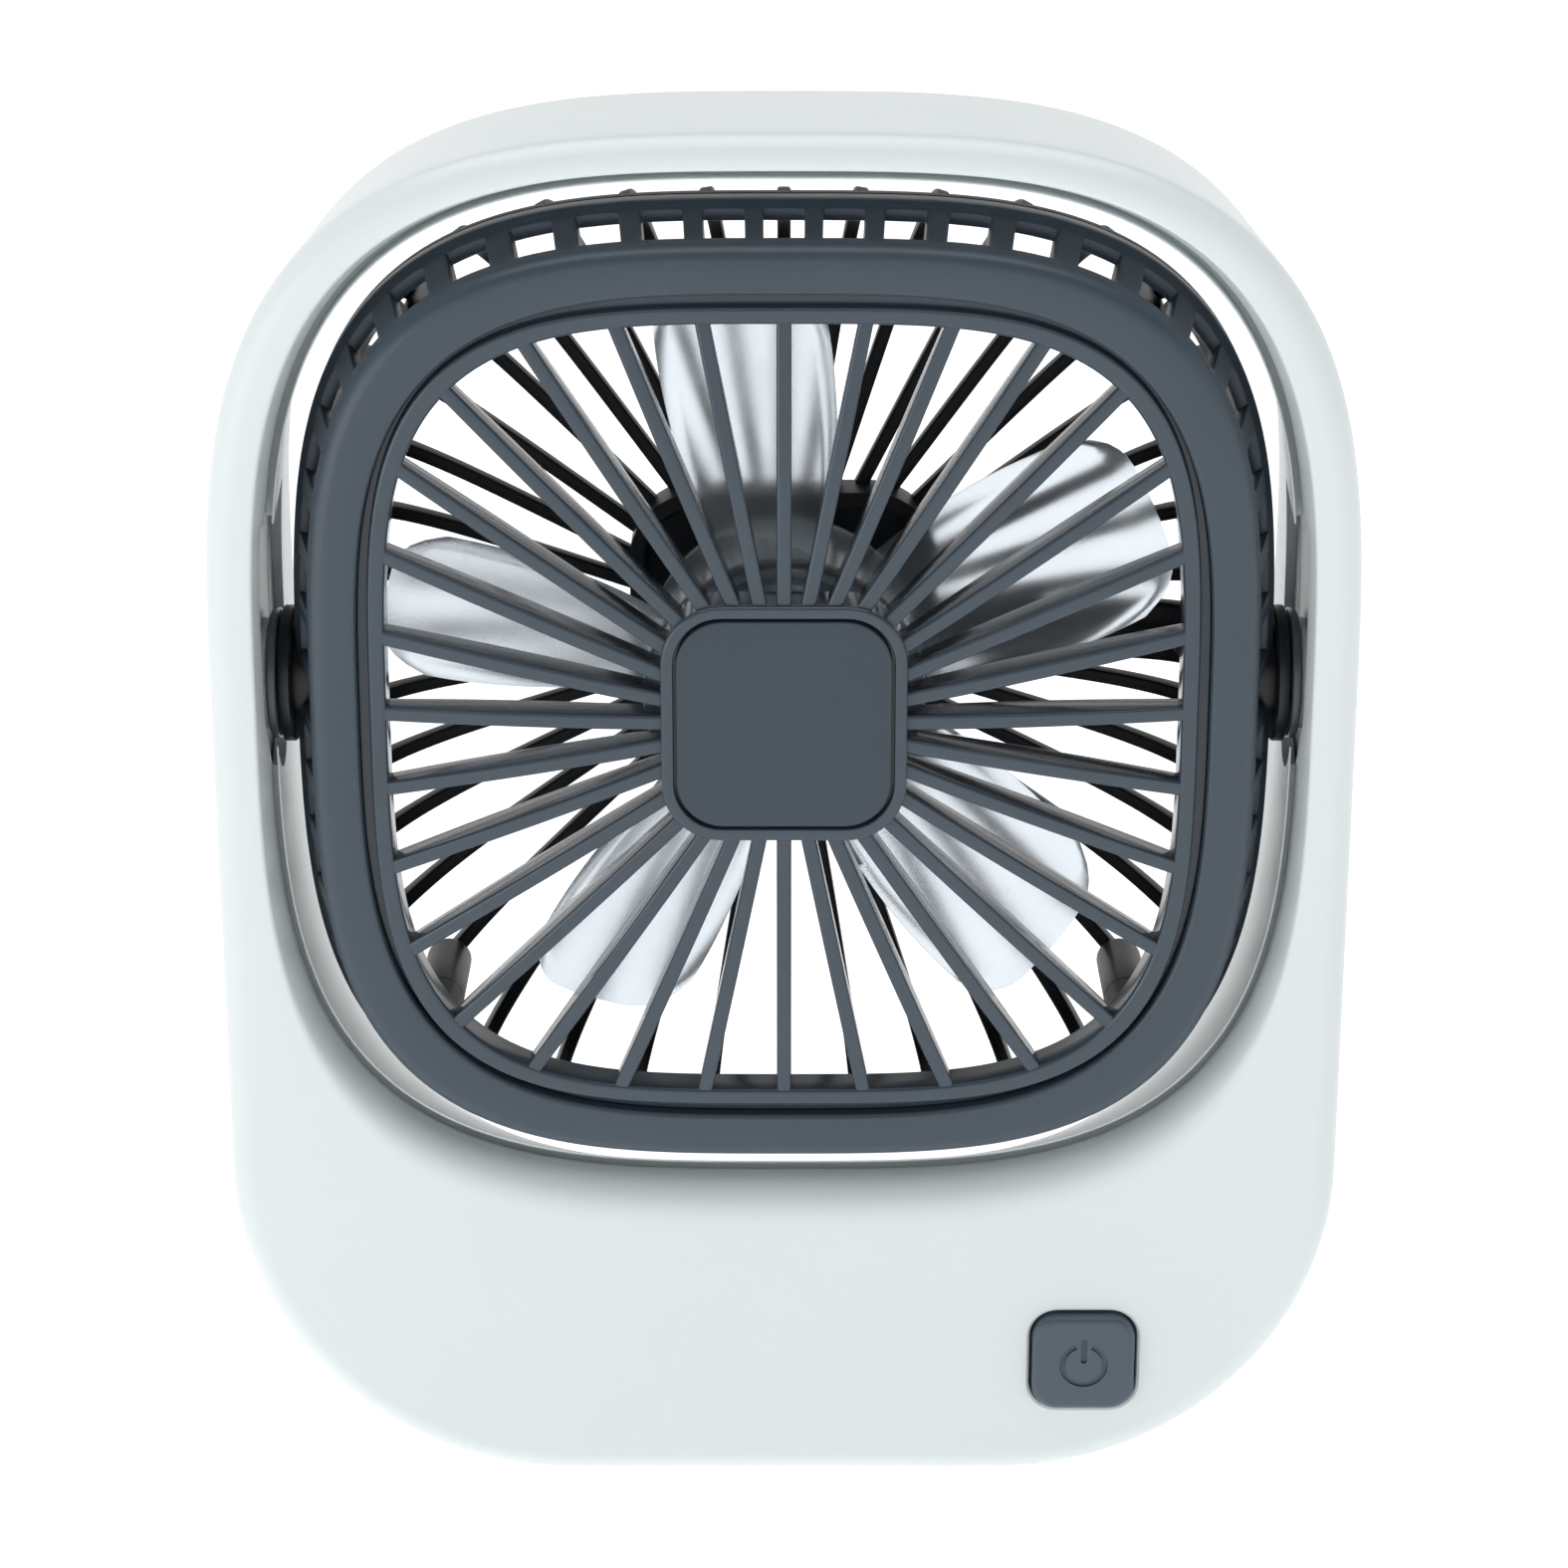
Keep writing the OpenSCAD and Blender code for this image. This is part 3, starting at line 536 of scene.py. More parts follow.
FOOT_X, FOOT_DEPTHS = 19, (14, 55)
FOOT_PROFILE = [(4.4, 0.5), (4.5, 0.3), (4.5, -0.5), (4.35, -0.85), (4.0, -1), (3.1, -1),
                (2.9, -0.85), (2.7, -0.85)]
BUSH_PROFILE = [(3.55, 55.95), (3.65, 55.85), (6.9, 55.85), (7.2, 55.95), (7.3, 56.15), (7.3, 56.7),
                (7.1, 56.9), (BUSH_R, 56.9), (BUSH_R, 58.85), (4.5, 58.95), (3.55, 58.95)]
TURNED_STEPS = 72


def recess_tool(side):
    """Pocket with a flat top and a round bottom, cut into both halves of the opening's wall."""
    outline = [(RECESS_D1, RECESS_UP), (RECESS_D0, RECESS_UP)]
    for i in range(RECESS_STEPS + 1):
        a = math.pi + math.pi * i / RECESS_STEPS
        outline.append((SPLIT_D + (RECESS_D1 - SPLIT_D) * math.cos(a), RECESS_DOWN * math.sin(a)))
    tool = Builder()
    tool.stack([[(side * x, d, z) for d, z in outline] for x in (RECESS_X - RECESS_CUT, RECESS_X)])
    return tool


def lerp_ring(a, b, f):
    """Ring of points a share f of the way from ring a to ring b."""
    return [tuple(p + (q - p) * f for p, q in zip(u, v)) for u, v in zip(a, b)]


def lip_offset(h):
    """Inset of the opening's edge at depth h behind the front: a small round, then a straight wall."""
    if h < LIP_EDGE:
        return LIP_SIDE - math.sqrt(LIP_EDGE ** 2 - (LIP_EDGE - h) ** 2)
    f = (h - LIP_EDGE) / (LIP_END - FRONT_D - LIP_EDGE)
    return LIP_SIDE - LIP_EDGE + (GROOVE_OUT - LIP_SIDE + LIP_EDGE) * f


def make_front_shell():
    n = SHELL_STEPS
    rear_outer = ring_of(lambda t: housing_r(DRAFT, 0, t), leaning(EDGE), n)
    front_outer = housing_ring(0, FRONT_D + FRONT_ROUND, n)
    rings = [lerp_ring(rear_outer, front_outer, f / WALL_STEPS) for f in range(WALL_STEPS)]
    for s, c in quarter(ROUND_STEPS):
        rings.append(housing_ring(FRONT_ROUND * (1 - c), FRONT_D + FRONT_ROUND * (1 - s), n))
    for s, c in quarter(LIP_STEPS):
        h = (LIP_END - FRONT_D) * (1 - c)
        side = lip_offset(h)
        down = GROOVE_OUT + (LIP_BOTTOM - GROOVE_OUT) * (1 - s)
        rings.append(opening_ring(side, side, down, FRONT_D + h, n))
    rings += [
        sleeve_ring(GROOVE_OUT, GROOVE_END, n),
        sleeve_ring(GROOVE_OUT + 0.4, GROOVE_END, n),
        sleeve_ring(GROOVE_OUT + 0.4, CREST_D, n),
        opening_ring(LIP_SIDE_T, LIP_T, LIP_T, CREST_D, n),
        opening_ring(LIP_SIDE_T, LIP_T, LIP_T + 0.2, FRONT_D + 2.4, n),
        opening_ring(LIP_SIDE_T + 0.4, LIP_T + 0.4, LIP_T + 2, FRONT_D + 1.8, n),
        housing_ring(WALL + 0.7, FRONT_D + 1.8, n),
        housing_ring(WALL, FRONT_D + FRONT_ROUND + 0.6, n),
        ring_of(lambda t: housing_r(DRAFT + WALL, WALL, t), leaning(0), n),
        ring_of(lambda t: housing_r(DRAFT + EDGE, EDGE, t), leaning(0), n),
        ring_of(lambda t: housing_r(DRAFT + EDGE_MID, EDGE_MID, t), leaning(EDGE_MID), n),
    ]
    shell = Builder()
    shell.skin(rings)
    obj = shell.object("front_shell_moulding", WHITE, BODY, "shell_white", CRISP, ["front_shell"])
    hole = Builder()
    button = head_box("power_button")
    w = BUTTON_W + 2 * BUTTON_GAP
    x, z = (button[0].x + button[1].x) / 2, (button[0].z + button[1].z) / 2
    hole.stack(plate_rings(w, w, BUTTON_HOLE_R, shifted(BUTTON_HOLE, FRONT_D), x, z))
    cut(obj, [hole, recess_tool(-1), recess_tool(1)])
    finish_mesh(obj, WHITE, CRISP)


def make_rear_cover():
    n = SHELL_STEPS
    front = opening_ring(0, 0, 0, CREST_D + 0.1, n)

    def rear_ring(grow, back):
        return ring_of(lambda t: opening_r(TUNNEL_SIDE + grow, TUNNEL_UP + grow, FLOOR_DROP + grow, t),
                       leaning(back), n)

    def face_ring(inset, back):
        return ring_of(lambda t: housing_r(DRAFT + WALL + SEAM + inset, WALL + SEAM + inset, t),
                       leaning(back), n)

    tunnel_end = rear_ring(0, REAR_ROUND)
    rings = [lerp_ring(front, tunnel_end, f / 10) for f in range(10)]
    for s, c in quarter(6):
        rings.append(rear_ring(REAR_ROUND * (1 - c), REAR_ROUND * (1 - s)))
    rings += [face_ring(0.12, 0), face_ring(0.03, 0.04), face_ring(0, 0.12), face_ring(0, 1.6),
              rear_ring(1.2, 1.7), sleeve_ring(1.4, GROOVE_END + 0.3, n),
              sleeve_ring(GROOVE_IN, GROOVE_END + 0.3, n), sleeve_ring(GROOVE_IN, CREST_D + 0.25, n),
              sleeve_ring(0.12, CREST_D + 0.12, n)]
    cover = Builder()
    cover.skin(rings)
    obj = cover.object("rear_cover_moulding", WHITE, BODY, "shell_white", CRISP, ["rear_cover"])
    tools = [recess_tool(-1), recess_tool(1)]
    port = Builder()
    port.stack(plate_rings(USB_W + USB_GAP, USB_H + USB_GAP, USB_CORNER,
                           [(0, REAR_HOLE_START), (0, REAR_HOLE_END)], 0, USB_Z))
    tools.append(port)
    light = Builder()
    light.turned([(0, REAR_HOLE_START), (LIGHT_R + AIR, REAR_HOLE_START), (LIGHT_R + AIR, REAR_HOLE_END),
                  (0, REAR_HOLE_END)], 24, LIGHT_X, USB_Z)
    tools.append(light)
    for x, z in SCREWS:
        well = Builder()
        well.turned(shifted(WELL_PROFILE, rear_at(z)), 32, x, z)
        tools.append(well)
    cut(obj, tools)
    finish_mesh(obj, WHITE, CRISP)


def make_cover_backing():
    """Screw bosses, pivot plates and raised bush seats of the rear cover."""
    part = Builder()
    for x, z in SCREWS:
        part.turned_tube(shifted(BOSS_PROFILE, rear_at(z)), 32, x, z)
    hole_r = BUSH_R + AIR
    for side in (-1, 1):
        plate = []
        for t in turn(PLATE_STEPS):
            c, s = math.cos(t), math.sin(t)
            reach_d = PLATE_END_D - SPLIT_D if c > 0 else SPLIT_D - CREST_D - AIR
            reach_z = RECESS_UP + PLATE_OVER if s > 0 else RECESS_DOWN + PLATE_UNDER
            r = min(reach_d / max(abs(c), 1e-6), reach_z / max(abs(s), 1e-6))
            plate.append((SPLIT_D + r * c, r * s))
        hole = [(SPLIT_D + hole_r * math.cos(t), hole_r * math.sin(t)) for t in turn(PLATE_STEPS)]
        x0, x1 = side * (RECESS_X + AIR), side * PLATE_X
        part.skin([[(x, d, z) for d, z in loop] for loop, x in
                   ((plate, x0), (plate, x1), (hole, x1), (hole, x0))])
        part.sideways([(hole_r, SEAT_X), (SEAT_R - 0.3, SEAT_X), (SEAT_R, SEAT_X + 0.12),
                       (SEAT_R, RECESS_X - AIR), (hole_r, RECESS_X - AIR)], TURNED_STEPS, side)
    part.object("rear_cover_bosses", WHITE, BODY, "shell_white")


def make_feet():
    feet = Builder()
    for x in (-FOOT_X, FOOT_X):
        for d in FOOT_DEPTHS:
            feet.stack([[(x + r * math.cos(t), d + r * math.sin(t), z) for t in turn(48)]
                        for r, z in shifted(FOOT_PROFILE, -AXIS_DOWN)])
    feet.object("foot_pads", RUBBER, BODY, "rubber", CRISP, ["rubber_feet"])


def make_bush(side, name, node):
    part = Builder()
    part.sideways(BUSH_PROFILE, TURNED_STEPS, side)
    part.object(name, BUSH, BODY, "bush_grey", CRISP, [node])


# ---------------------------------------------------------------- button
BUTTON_R, BUTTON_ROUND = 2.9, 0.85
BUTTON_FLANGE = 1.2
MARK_R, MARK_STROKE, MARK_DEPTH, MARK_GAP = 2.45, 0.65, 0.34, 22
BAR_H, BAR_UP, BAR_CORNER = 3.1, 1.75, 0.3
STEM_R = 1.8


def make_button():
    lo, hi = head_box("power_button")
    x, z = (lo.x + hi.x) / 2, (lo.z + hi.z) / 2
    front = lo.y
    shelf = FRONT_D + 2.1
    levels = [(-BUTTON_FLANGE, shelf + 1), (-BUTTON_FLANGE, shelf), (0, shelf)]
    levels += [(BUTTON_ROUND * (1 - c), front + 0.12 + BUTTON_ROUND * (1 - s)) for s, c in quarter(7)]
    levels += [(1.6, front + 0.07), (2.6, front + 0.025), (3.6, front + 0.005), (4.4, front)]
    cap = Builder()
    cap.stack(plate_rings(BUTTON_W, BUTTON_W, BUTTON_R, levels, x, z, 10))
    obj = cap.object("power_button_cap", BUTTON, "power_button", "button_grey", CRISP, ["power_button"])
    start, sweep = math.radians(90 + MARK_GAP), math.radians(360 - 2 * MARK_GAP)
    arc = [start + sweep * i / 48 for i in range(49)]
    outer_r, inner_r = MARK_R + MARK_STROKE / 2, MARK_R - MARK_STROKE / 2
    loops = []
    for d in (front - 1, front + MARK_DEPTH):
        outer = [(x + outer_r * math.cos(a), d, z + outer_r * math.sin(a)) for a in arc]
        inner = [(x + inner_r * math.cos(a), d, z + inner_r * math.sin(a)) for a in arc]
        loops.append(outer + inner[::-1])
    mark = Builder()
    mark.stack(loops)
    bar = Builder()
    bar_levels = [(0, front - 1), (0, front + MARK_DEPTH)]
    bar.stack(plate_rings(MARK_STROKE, BAR_H, BAR_CORNER, bar_levels, x, z + BAR_UP))
    cut(obj, [mark, bar])
    finish_mesh(obj, BUTTON, CRISP)
    stem = Builder()
    stem.turned([(0, shelf + 1), (STEM_R, shelf + 1), (STEM_R, hi.y - 0.2), (1.6, hi.y), (0, hi.y)],
                32, x, z)
    stem.object("power_button_stem", BUTTON, "power_button", "button_grey")


# ---------------------------------------------------------------- head, front
HEAD = "head"
NECK_R, NECK_X = 5.05, (49.0, 57.0)
SLOT_D0, SLOT_D1, SLOT_W = 6.9, 14.0, 4.4
SLOT_COLUMNS, POST_COLUMNS, SLOT_ROWS = 4, 4, 4
SLOT_OUT0, SLOT_OUT1 = 51.62, 53.26
SLOT_IN, SLOT_IN_RUN = 51.9, 1.9
BEZEL_REAR = [(53.34, 14.35), (53.72, 14.75), (53.94, 15.2), (54.0, 15.8), (54.0, 18.1), (53.85, 18.45),
              (52.35, 18.45), (52.2, 18.3)]
BEZEL_POST = [(0.85, 9), (2.4, 9), (2.6, 9.2), (2.6, 18.45), (0.85, 18.45)]
BEZEL_ROUND, BEZEL_ROUND_SHARP = 0.16, 50
FIN_PROFILE = [(54, 8.3), (58.4, 8.3), (60.3, 14.4), (60.8, 18.2), (54, 18.2)]
FIN_HALF = 0.65
SCREW_AT = 39.3
HEAD_SCREWS = [(x, z) for x in (-SCREW_AT, SCREW_AT) for z in (-SCREW_AT, SCREW_AT)]
RING_STEPS = 320
SPOKE_W, SPOKE_TAPER, SPOKE_CORNER, SPOKE_STEPS = 1.6, 0.15, 0.36, 24
HUB_R, CAP_R, CAP_MARGIN = 6.5, 5.1, 3.3
CAP_LEVELS = [(0, 1.6), (0, 0.3), (0.04, 0.13), (0.13, 0.04), (0.3, 0), (2, 0), (6, 0)]


def neck_tool(side):
    """Round hole for the trunnion's neck."""
    tool = Builder()
    rings = []
    for x in NECK_X:
        rings.append([(side * x, SPLIT_D + NECK_R * math.cos(t), NECK_R * math.sin(t)) for t in turn(48)])
    tool.stack(rings)
    return tool


def arc_profile(cx, cd, r, start, end, steps):
    """Points (half width, depth) on an arc; angles in degrees, 0 outwards and 90 backwards."""
    out = []
    for i in range(steps + 1):
        a = math.radians(start + (end - start) * i / steps)
        out.append((cx + r * math.cos(a), cd + r * math.sin(a)))
    return out


def slot_angles():
    """Angles of the bezel's columns, and whether the gap after each lies in a slot."""
    angles, inside = [], []
    for i in range(SLOTS):
        middle = math.pi / 2 + 2 * math.pi * i / SLOTS
        half = math.asin(SLOT_W / 2 / head_r(HEAD_W - 1.5, HEAD_N, middle))
        for k in range(SLOT_COLUMNS):
            angles.append(middle - half + 2 * half * k / SLOT_COLUMNS)
            inside.append(True)
        following = middle + 2 * math.pi / SLOTS
        next_half = math.asin(SLOT_W / 2 / head_r(HEAD_W - 1.5, HEAD_N, following))
        start, end = middle + half, following - next_half
        for k in range(POST_COLUMNS):
            angles.append(start + (end - start) * k / POST_COLUMNS)
            inside.append(False)
    return angles, inside


def make_bezel():
    profile = [(46.1, 6.6)]
    profile += arc_profile(46.7, 4.2, 0.6, 180, 270, 5)
    profile += [(48.2, 3.55)]
    profile += arc_profile(49.3, 5.75, 2.1, 280, 358, 8)
    outer_start = len(profile)
    for i in range(SLOT_ROWS + 1):
        f = i / SLOT_ROWS
        profile.append((SLOT_OUT0 + (SLOT_OUT1 - SLOT_OUT0) * f, SLOT_D0 + (SLOT_D1 - SLOT_D0) * f))
    profile += BEZEL_REAR
    inner_start = len(profile)
    for i in range(SLOT_ROWS + 1):
        f = i / SLOT_ROWS
        profile.append((SLOT_IN - SLOT_IN_RUN * f, SLOT_D1 - (SLOT_D1 - SLOT_D0) * f))
    profile += [(49.9, 6.6)]
    angles, inside = slot_angles()
    n, m = len(angles), len(profile)
    points = []
    for a, d in profile:
        for t in angles:
            r = head_r(a, HEAD_N, t)
            points.append((r * math.cos(t), d, r * math.sin(t)))
    faces = []
    outer_rows = range(outer_start, outer_start + SLOT_ROWS)
    inner_rows = range(inner_start, inner_start + SLOT_ROWS)
    for i in range(m):
        for j in range(n):
            if inside[j] and (i in outer_rows or i in inner_rows):
                continue
            k, after = (i + 1) % m, (j + 1) % n
            faces.append((i * n + j, i * n + after, k * n + after, k * n + j))

    def partner(row):
        """The inner row that lies across the wall from an outer one."""
        return inner_start + SLOT_ROWS - (row - outer_start)

    for j in range(n):
        after = (j + 1) % n
        if inside[j]:
            for row in (outer_start, outer_start + SLOT_ROWS):
                p = partner(row)
                faces.append((row * n + j, row * n + after, p * n + after, p * n + j))
        if inside[j] != inside[j - 1]:
            for row in outer_rows:
                p, q = partner(row), partner(row + 1)
                faces.append((row * n + j, (row + 1) * n + j, q * n + j, p * n + j))
    obj = mesh_object("head_bezel_ring", points, faces, GREY, HEAD, SHARP,
                      ["head_front_bezel"])
    soften(obj, BEZEL_ROUND, 2, BEZEL_ROUND_SHARP)
    cut(obj, [neck_tool(-1), neck_tool(1)])
    finish_mesh(obj, GREY, SHARP)
    bosses = Builder()
    for x, z in HEAD_SCREWS:
        bosses.turned_tube(BEZEL_POST, 32, x, z)
        t = math.atan2(z, x)
        grow = head_r(1, HEAD_N, t) / oval(1, 1, HEAD_N, t)
        outline = [(r * grow, d) for r, d in FIN_PROFILE]
        bosses.stack([fin_loop(outline, t, -FIN_HALF), fin_loop(outline, t, FIN_HALF)])
    bosses.object("head_bezel_bosses", REAR, HEAD, "rear_grey")


def fin_loop(outline, t, offset):
    """Loop of (radius, depth) points in a plane through the axis, moved sideways by offset."""
    c, s = math.cos(t), math.sin(t)
    return [(r * c - offset * s, d, r * s + offset * c) for r, d in outline]


def soften(obj, width, segments, angle):
    """Small round on every edge sharper than angle."""
    modifier = obj.modifiers.new("soften", "BEVEL")
    modifier.width = width * MM
    modifier.segments = segments
    modifier.limit_method = "ANGLE"
    modifier.angle_limit = math.radians(angle)
    modifier.harden_normals = False
    bake(obj)


def bar_section(front, back, inward, half_front, half_back, corner, steps):
    """Cross-section with four rounded corners, as (sideways, depth) pairs.

    inward is the sign of the way from the front edge into the bar.
    """
    section = []
    corners = ((1, front, inward, half_front), (-1, front, inward, half_front),
               (-1, back, -inward, half_back), (1, back, -inward, half_back))
    for k, (sx, base, sd, half) in enumerate(corners):
        for i in range(steps + 1):
            a = math.pi / 2 * i / steps
            along, into = (math.cos(a), math.sin(a)) if k % 2 == 0 else (math.sin(a), math.cos(a))
            section.append((sx * (half - corner + corner * along), base + sd * corner * (1 - into)))
    return section


def sweep_fin(builder, spine, t, half_front, half_back, corner, steps):
    """Bar along a spine of (radius, front depth, back depth), with rounded front and back edges."""
    rings = []
    for r, front, back in spine:
        section = bar_section(front, back, 1, half_front, half_back, corner, steps)
        c, s = math.cos(t), math.sin(t)
        rings.append([(r * c - w * s, d, r * s + w * c) for w, d in section])
    builder.stack(rings)


def make_grille():
    ring = [(RING_W, RING_N, 8), (RING_W, RING_N, 6)]
    for a, d in arc_profile(RING_W + 0.55, 4.15, 0.55, 180, 270, 6):
        ring.append((a, RING_N, d))
    for a, d in arc_profile(RING_W + 1.4, 4.0, 0.4, 270, 360, 5):
        ring.append((a, RING_N, d))
    ring += [(RING_W + 1.8, RING_N, 5.2), (RING_W + 2.0, RING_N, 5.4), (46.0, HEAD_N, 5.4),
             (46.0, HEAD_N, 6.75), (RING_W + 4.4, 3.5, 6.75), (RING_W + 4.4, 3.5, 8)]
    grille = Builder()
    grille.skin([head_ring(a, n, d, RING_STEPS) for a, n, d in ring])
    for i in range(SPOKES):
        t = math.pi / 2 + 2 * math.pi * i / SPOKES
        r0 = oval(HUB_W / 2 - 0.6, HUB_W / 2 - 0.6, HUB_N, t)
        r1 = head_r(RING_W + 0.5, RING_N, t)
        spine = []
        for k in range(SPOKE_STEPS + 1):
            s = k / SPOKE_STEPS
            spine.append((r0 + (r1 - r0) * s, 0.7 + 3.1 * s ** 1.7, 7.6 - 2.4 * (1 - s) ** 2))
        sweep_fin(grille, spine, t, SPOKE_W / 2, SPOKE_W / 2 - SPOKE_TAPER, SPOKE_CORNER, 4)
    levels = [(2, 3.2), (2, 5.8), (1.8, 6), (0.2, 6), (0, 5.8)]
    levels += [(0.45 * (1 - c), 0.45 * (1 - s)) for s, c in quarter(5)]
    levels += [(1.1, 0), (1.28, 0.06), (1.35, 0.25), (1.35, 1.6)]
    grille.stack(plate_rings(HUB_W, HUB_W, HUB_R, levels, 0, 0, 10))
    grille.object("front_grille_moulding", GRILLE, HEAD, "head_grey", BLUNT, ["front_grille"])


def make_hub_cap():
    w = HUB_W - CAP_MARGIN
    cap = Builder()
    cap.stack(plate_rings(w, w, CAP_R, CAP_LEVELS, 0, 0, 10))
    cap.object("hub_cap_plate", CAP, HEAD, "cap_grey", CRISP, ["hub_cap"])


# ---------------------------------------------------------------- head, rear
MOTOR_PLATE_W, MOTOR_PLATE_R = 35.0, 7.8
MOTOR_REAR = 33.6
RIB_START = 16.5
RIB_OUTER_LINE = [(16.5, 36.5), (34, 37), (43, 36), (49, 33.2), (52.2, 29), (53.5, 24.5), (53.6, 21.5)]
RIB_INNER_LINE = [(16.5, 34.4), (34, 34.8), (42, 33.8), (46.8, 31.4), (49.8, 28.2), (51.4, 24.2),
                  (51.6, 21.5)]
RIB_W, RIB_CORNER = 1.5, 0.3
LEAD_ARM_W, LEAD_ARM_CORNER = 7.0, 0.6
RIM_PROFILE = [(54, 18.6), (54, 20.0), (53.85, 20.5), (53.3, 21.2), (53.05, 21.8), (52.8, 23.8),
               (52.6, 24), (51.3, 24), (51.1, 23.8), (52.1, 18.6)]
POST_PROFILE = [(1.2, 18.6), (2.6, 18.6), (2.6, 30.7), (2.45, 30.95), (2.15, 30.95), (2.0, 30.7),
                (2.0, 24), (1.2, 24)]
TRUNNION_PROFILE = [(1.7, 49.7), (1.8, 49.6), (6.45, 49.6), (6.6, 49.75), (6.6, 50.95), (5, 50.95),
                    (5, 54.15), (7.35, 54.15), (7.6, 54.4), (7.6, 55.35), (7.52, 55.52), (7.35, 55.6),
                    (3.5, 55.6), (3.5, 59.02), (3.0, 59.02), (3.0, 59.5), (3.5, 59.5), (3.5, 59.6),
                    (3.35, 59.7), (1.8, 59.7), (1.7, 59.6)]


def smooth_line(points, steps):
    """Catmull-Rom curve through 2-D points, steps per span."""
    out = []
    ext = [points[0]] + list(points) + [points[-1]]
    for i in range(1, len(ext) - 2):
        p0, p1, p2, p3 = ext[i - 1:i + 3]
        for k in range(steps):
            u = k / steps
            out.append(tuple(0.5 * (2 * b + (c - a) * u + (2 * a - 5 * b + 4 * c - d) * u * u
                                    + (3 * b - a - 3 * c + d) * u ** 3)
                             for a, b, c, d in zip(p0, p1, p2, p3)))
    out.append(tuple(points[-1]))
    return out


def sweep_rib(builder, t, thick, corner, steps=3):
    """Rib between the two lines, with rounded edges, stretched to the squared outline at angle t."""
    stretch = (head_r(HEAD_W, HEAD_N, t) - RIB_START) / (HEAD_W - RIB_START)
    outer = smooth_line(RIB_OUTER_LINE, 5)
    inner = smooth_line(RIB_INNER_LINE, 5)
    c, s = math.cos(t), math.sin(t)
    rings = []
    for (ro, do), (ri, di) in zip(outer, inner):
        depth = math.hypot(ro - ri, do - di)
        nr, nd = (ro - ri) / depth, (do - di) / depth
        loop = []
        for w, off in bar_section(0, -depth, -1, thick / 2, thick / 2, corner, steps):
            r = RIB_START + (ro + nr * off - RIB_START) * stretch
            loop.append((r * c - w * s, do + nd * off, r * s + w * c))
        rings.append(loop)
    builder.stack(rings)


def make_rear_shell():
    shell = Builder()
    shell.skin([head_ring(a, HEAD_N, d, RING_STEPS) for a, d in RIM_PROFILE])
    obj = shell.object("head_rear_rim", REAR, HEAD, "rear_grey", SHARP, ["head_rear_shell"])
    cut(obj, [neck_tool(-1), neck_tool(1)])
    finish_mesh(obj, REAR, SHARP)
    cage = Builder()
    for i in range(RIBS):
        t = math.pi / 2 + 2 * math.pi * i / RIBS
        if i * 4 == 3 * RIBS:
            sweep_rib(cage, t, LEAD_ARM_W, LEAD_ARM_CORNER)
        else:
            sweep_rib(cage, t, RIB_W, RIB_CORNER)
    levels = [(16.9, MOTOR_REAR), (1.8, MOTOR_REAR), (1.8, 30.2), (1.6, 30), (0.2, 30), (0, 30.2),
              (0, 35.8)]
    levels += [(0.7 * (1 - c), 35.8 + 0.7 * s) for s, c in quarter(5)]
    levels += [(3.6, 36.5), (3.75, 36.3), (4.3, 36.3), (4.45, 36.5), (16.9, 36.5)]
    cage.stack(plate_rings(MOTOR_PLATE_W, MOTOR_PLATE_W, MOTOR_PLATE_R, levels, 0, 0, 10))
    for x, z in HEAD_SCREWS:
        cage.turned_tube(POST_PROFILE, 32, x, z)
    cage.object("head_rear_cage", REAR, HEAD, "rear_grey", SHARP)


def make_trunnion(side, name, node):
    part = Builder()
    part.sideways(TRUNNION_PROFILE, TURNED_STEPS, side)
    part.object(name, BLACK, HEAD, "pivot_black", CRISP, [node])


def make_motor_can():
    can = Builder()
    outline = [(1.7, 15.6), (1.8, 15.5), (2.8, 15.5), (3.0, 15.7), (3.0, 16.3), (3.2, 16.5)]
    outline += arc_profile(9.7, 17.3, 0.8, 270, 360, 6)
    outline += [(10.5, 28.4), (10.35, 28.55), (10.35, 28.85), (10.5, 29.0), (10.5, 31.5), (9.7, 31.5),
                (9.7, 17.3), (1.7, 17.3)]
    can.turned_tube(outline, 96)
    can.object("motor_can_shell", CAN, HEAD, "steel", CRISP, ["motor_can"])


# ---------------------------------------------------------------- impeller
BLADE_START = 25
ROOT_HALF, HALF_LOSS = 24, 12
ROOT_SINK, TIP_DROP, TIP_POWER = 0.35, 4.5, 6
BLADE_D, BLADE_RISE, BLADE_RISE_LOSS = 19, 7.4, 2.6
BLADE_T, BLADE_T_SHARE, BLADE_EDGE_T, BLADE_EDGE = 0.42, 0.85, 0.09, 0.12


def blade_half(r):
    """Half the angle a blade takes up at radius r, in degrees."""
    return ROOT_HALF - HALF_LOSS * (r - IMPELLER_R) / (TIP_R - IMPELLER_R)


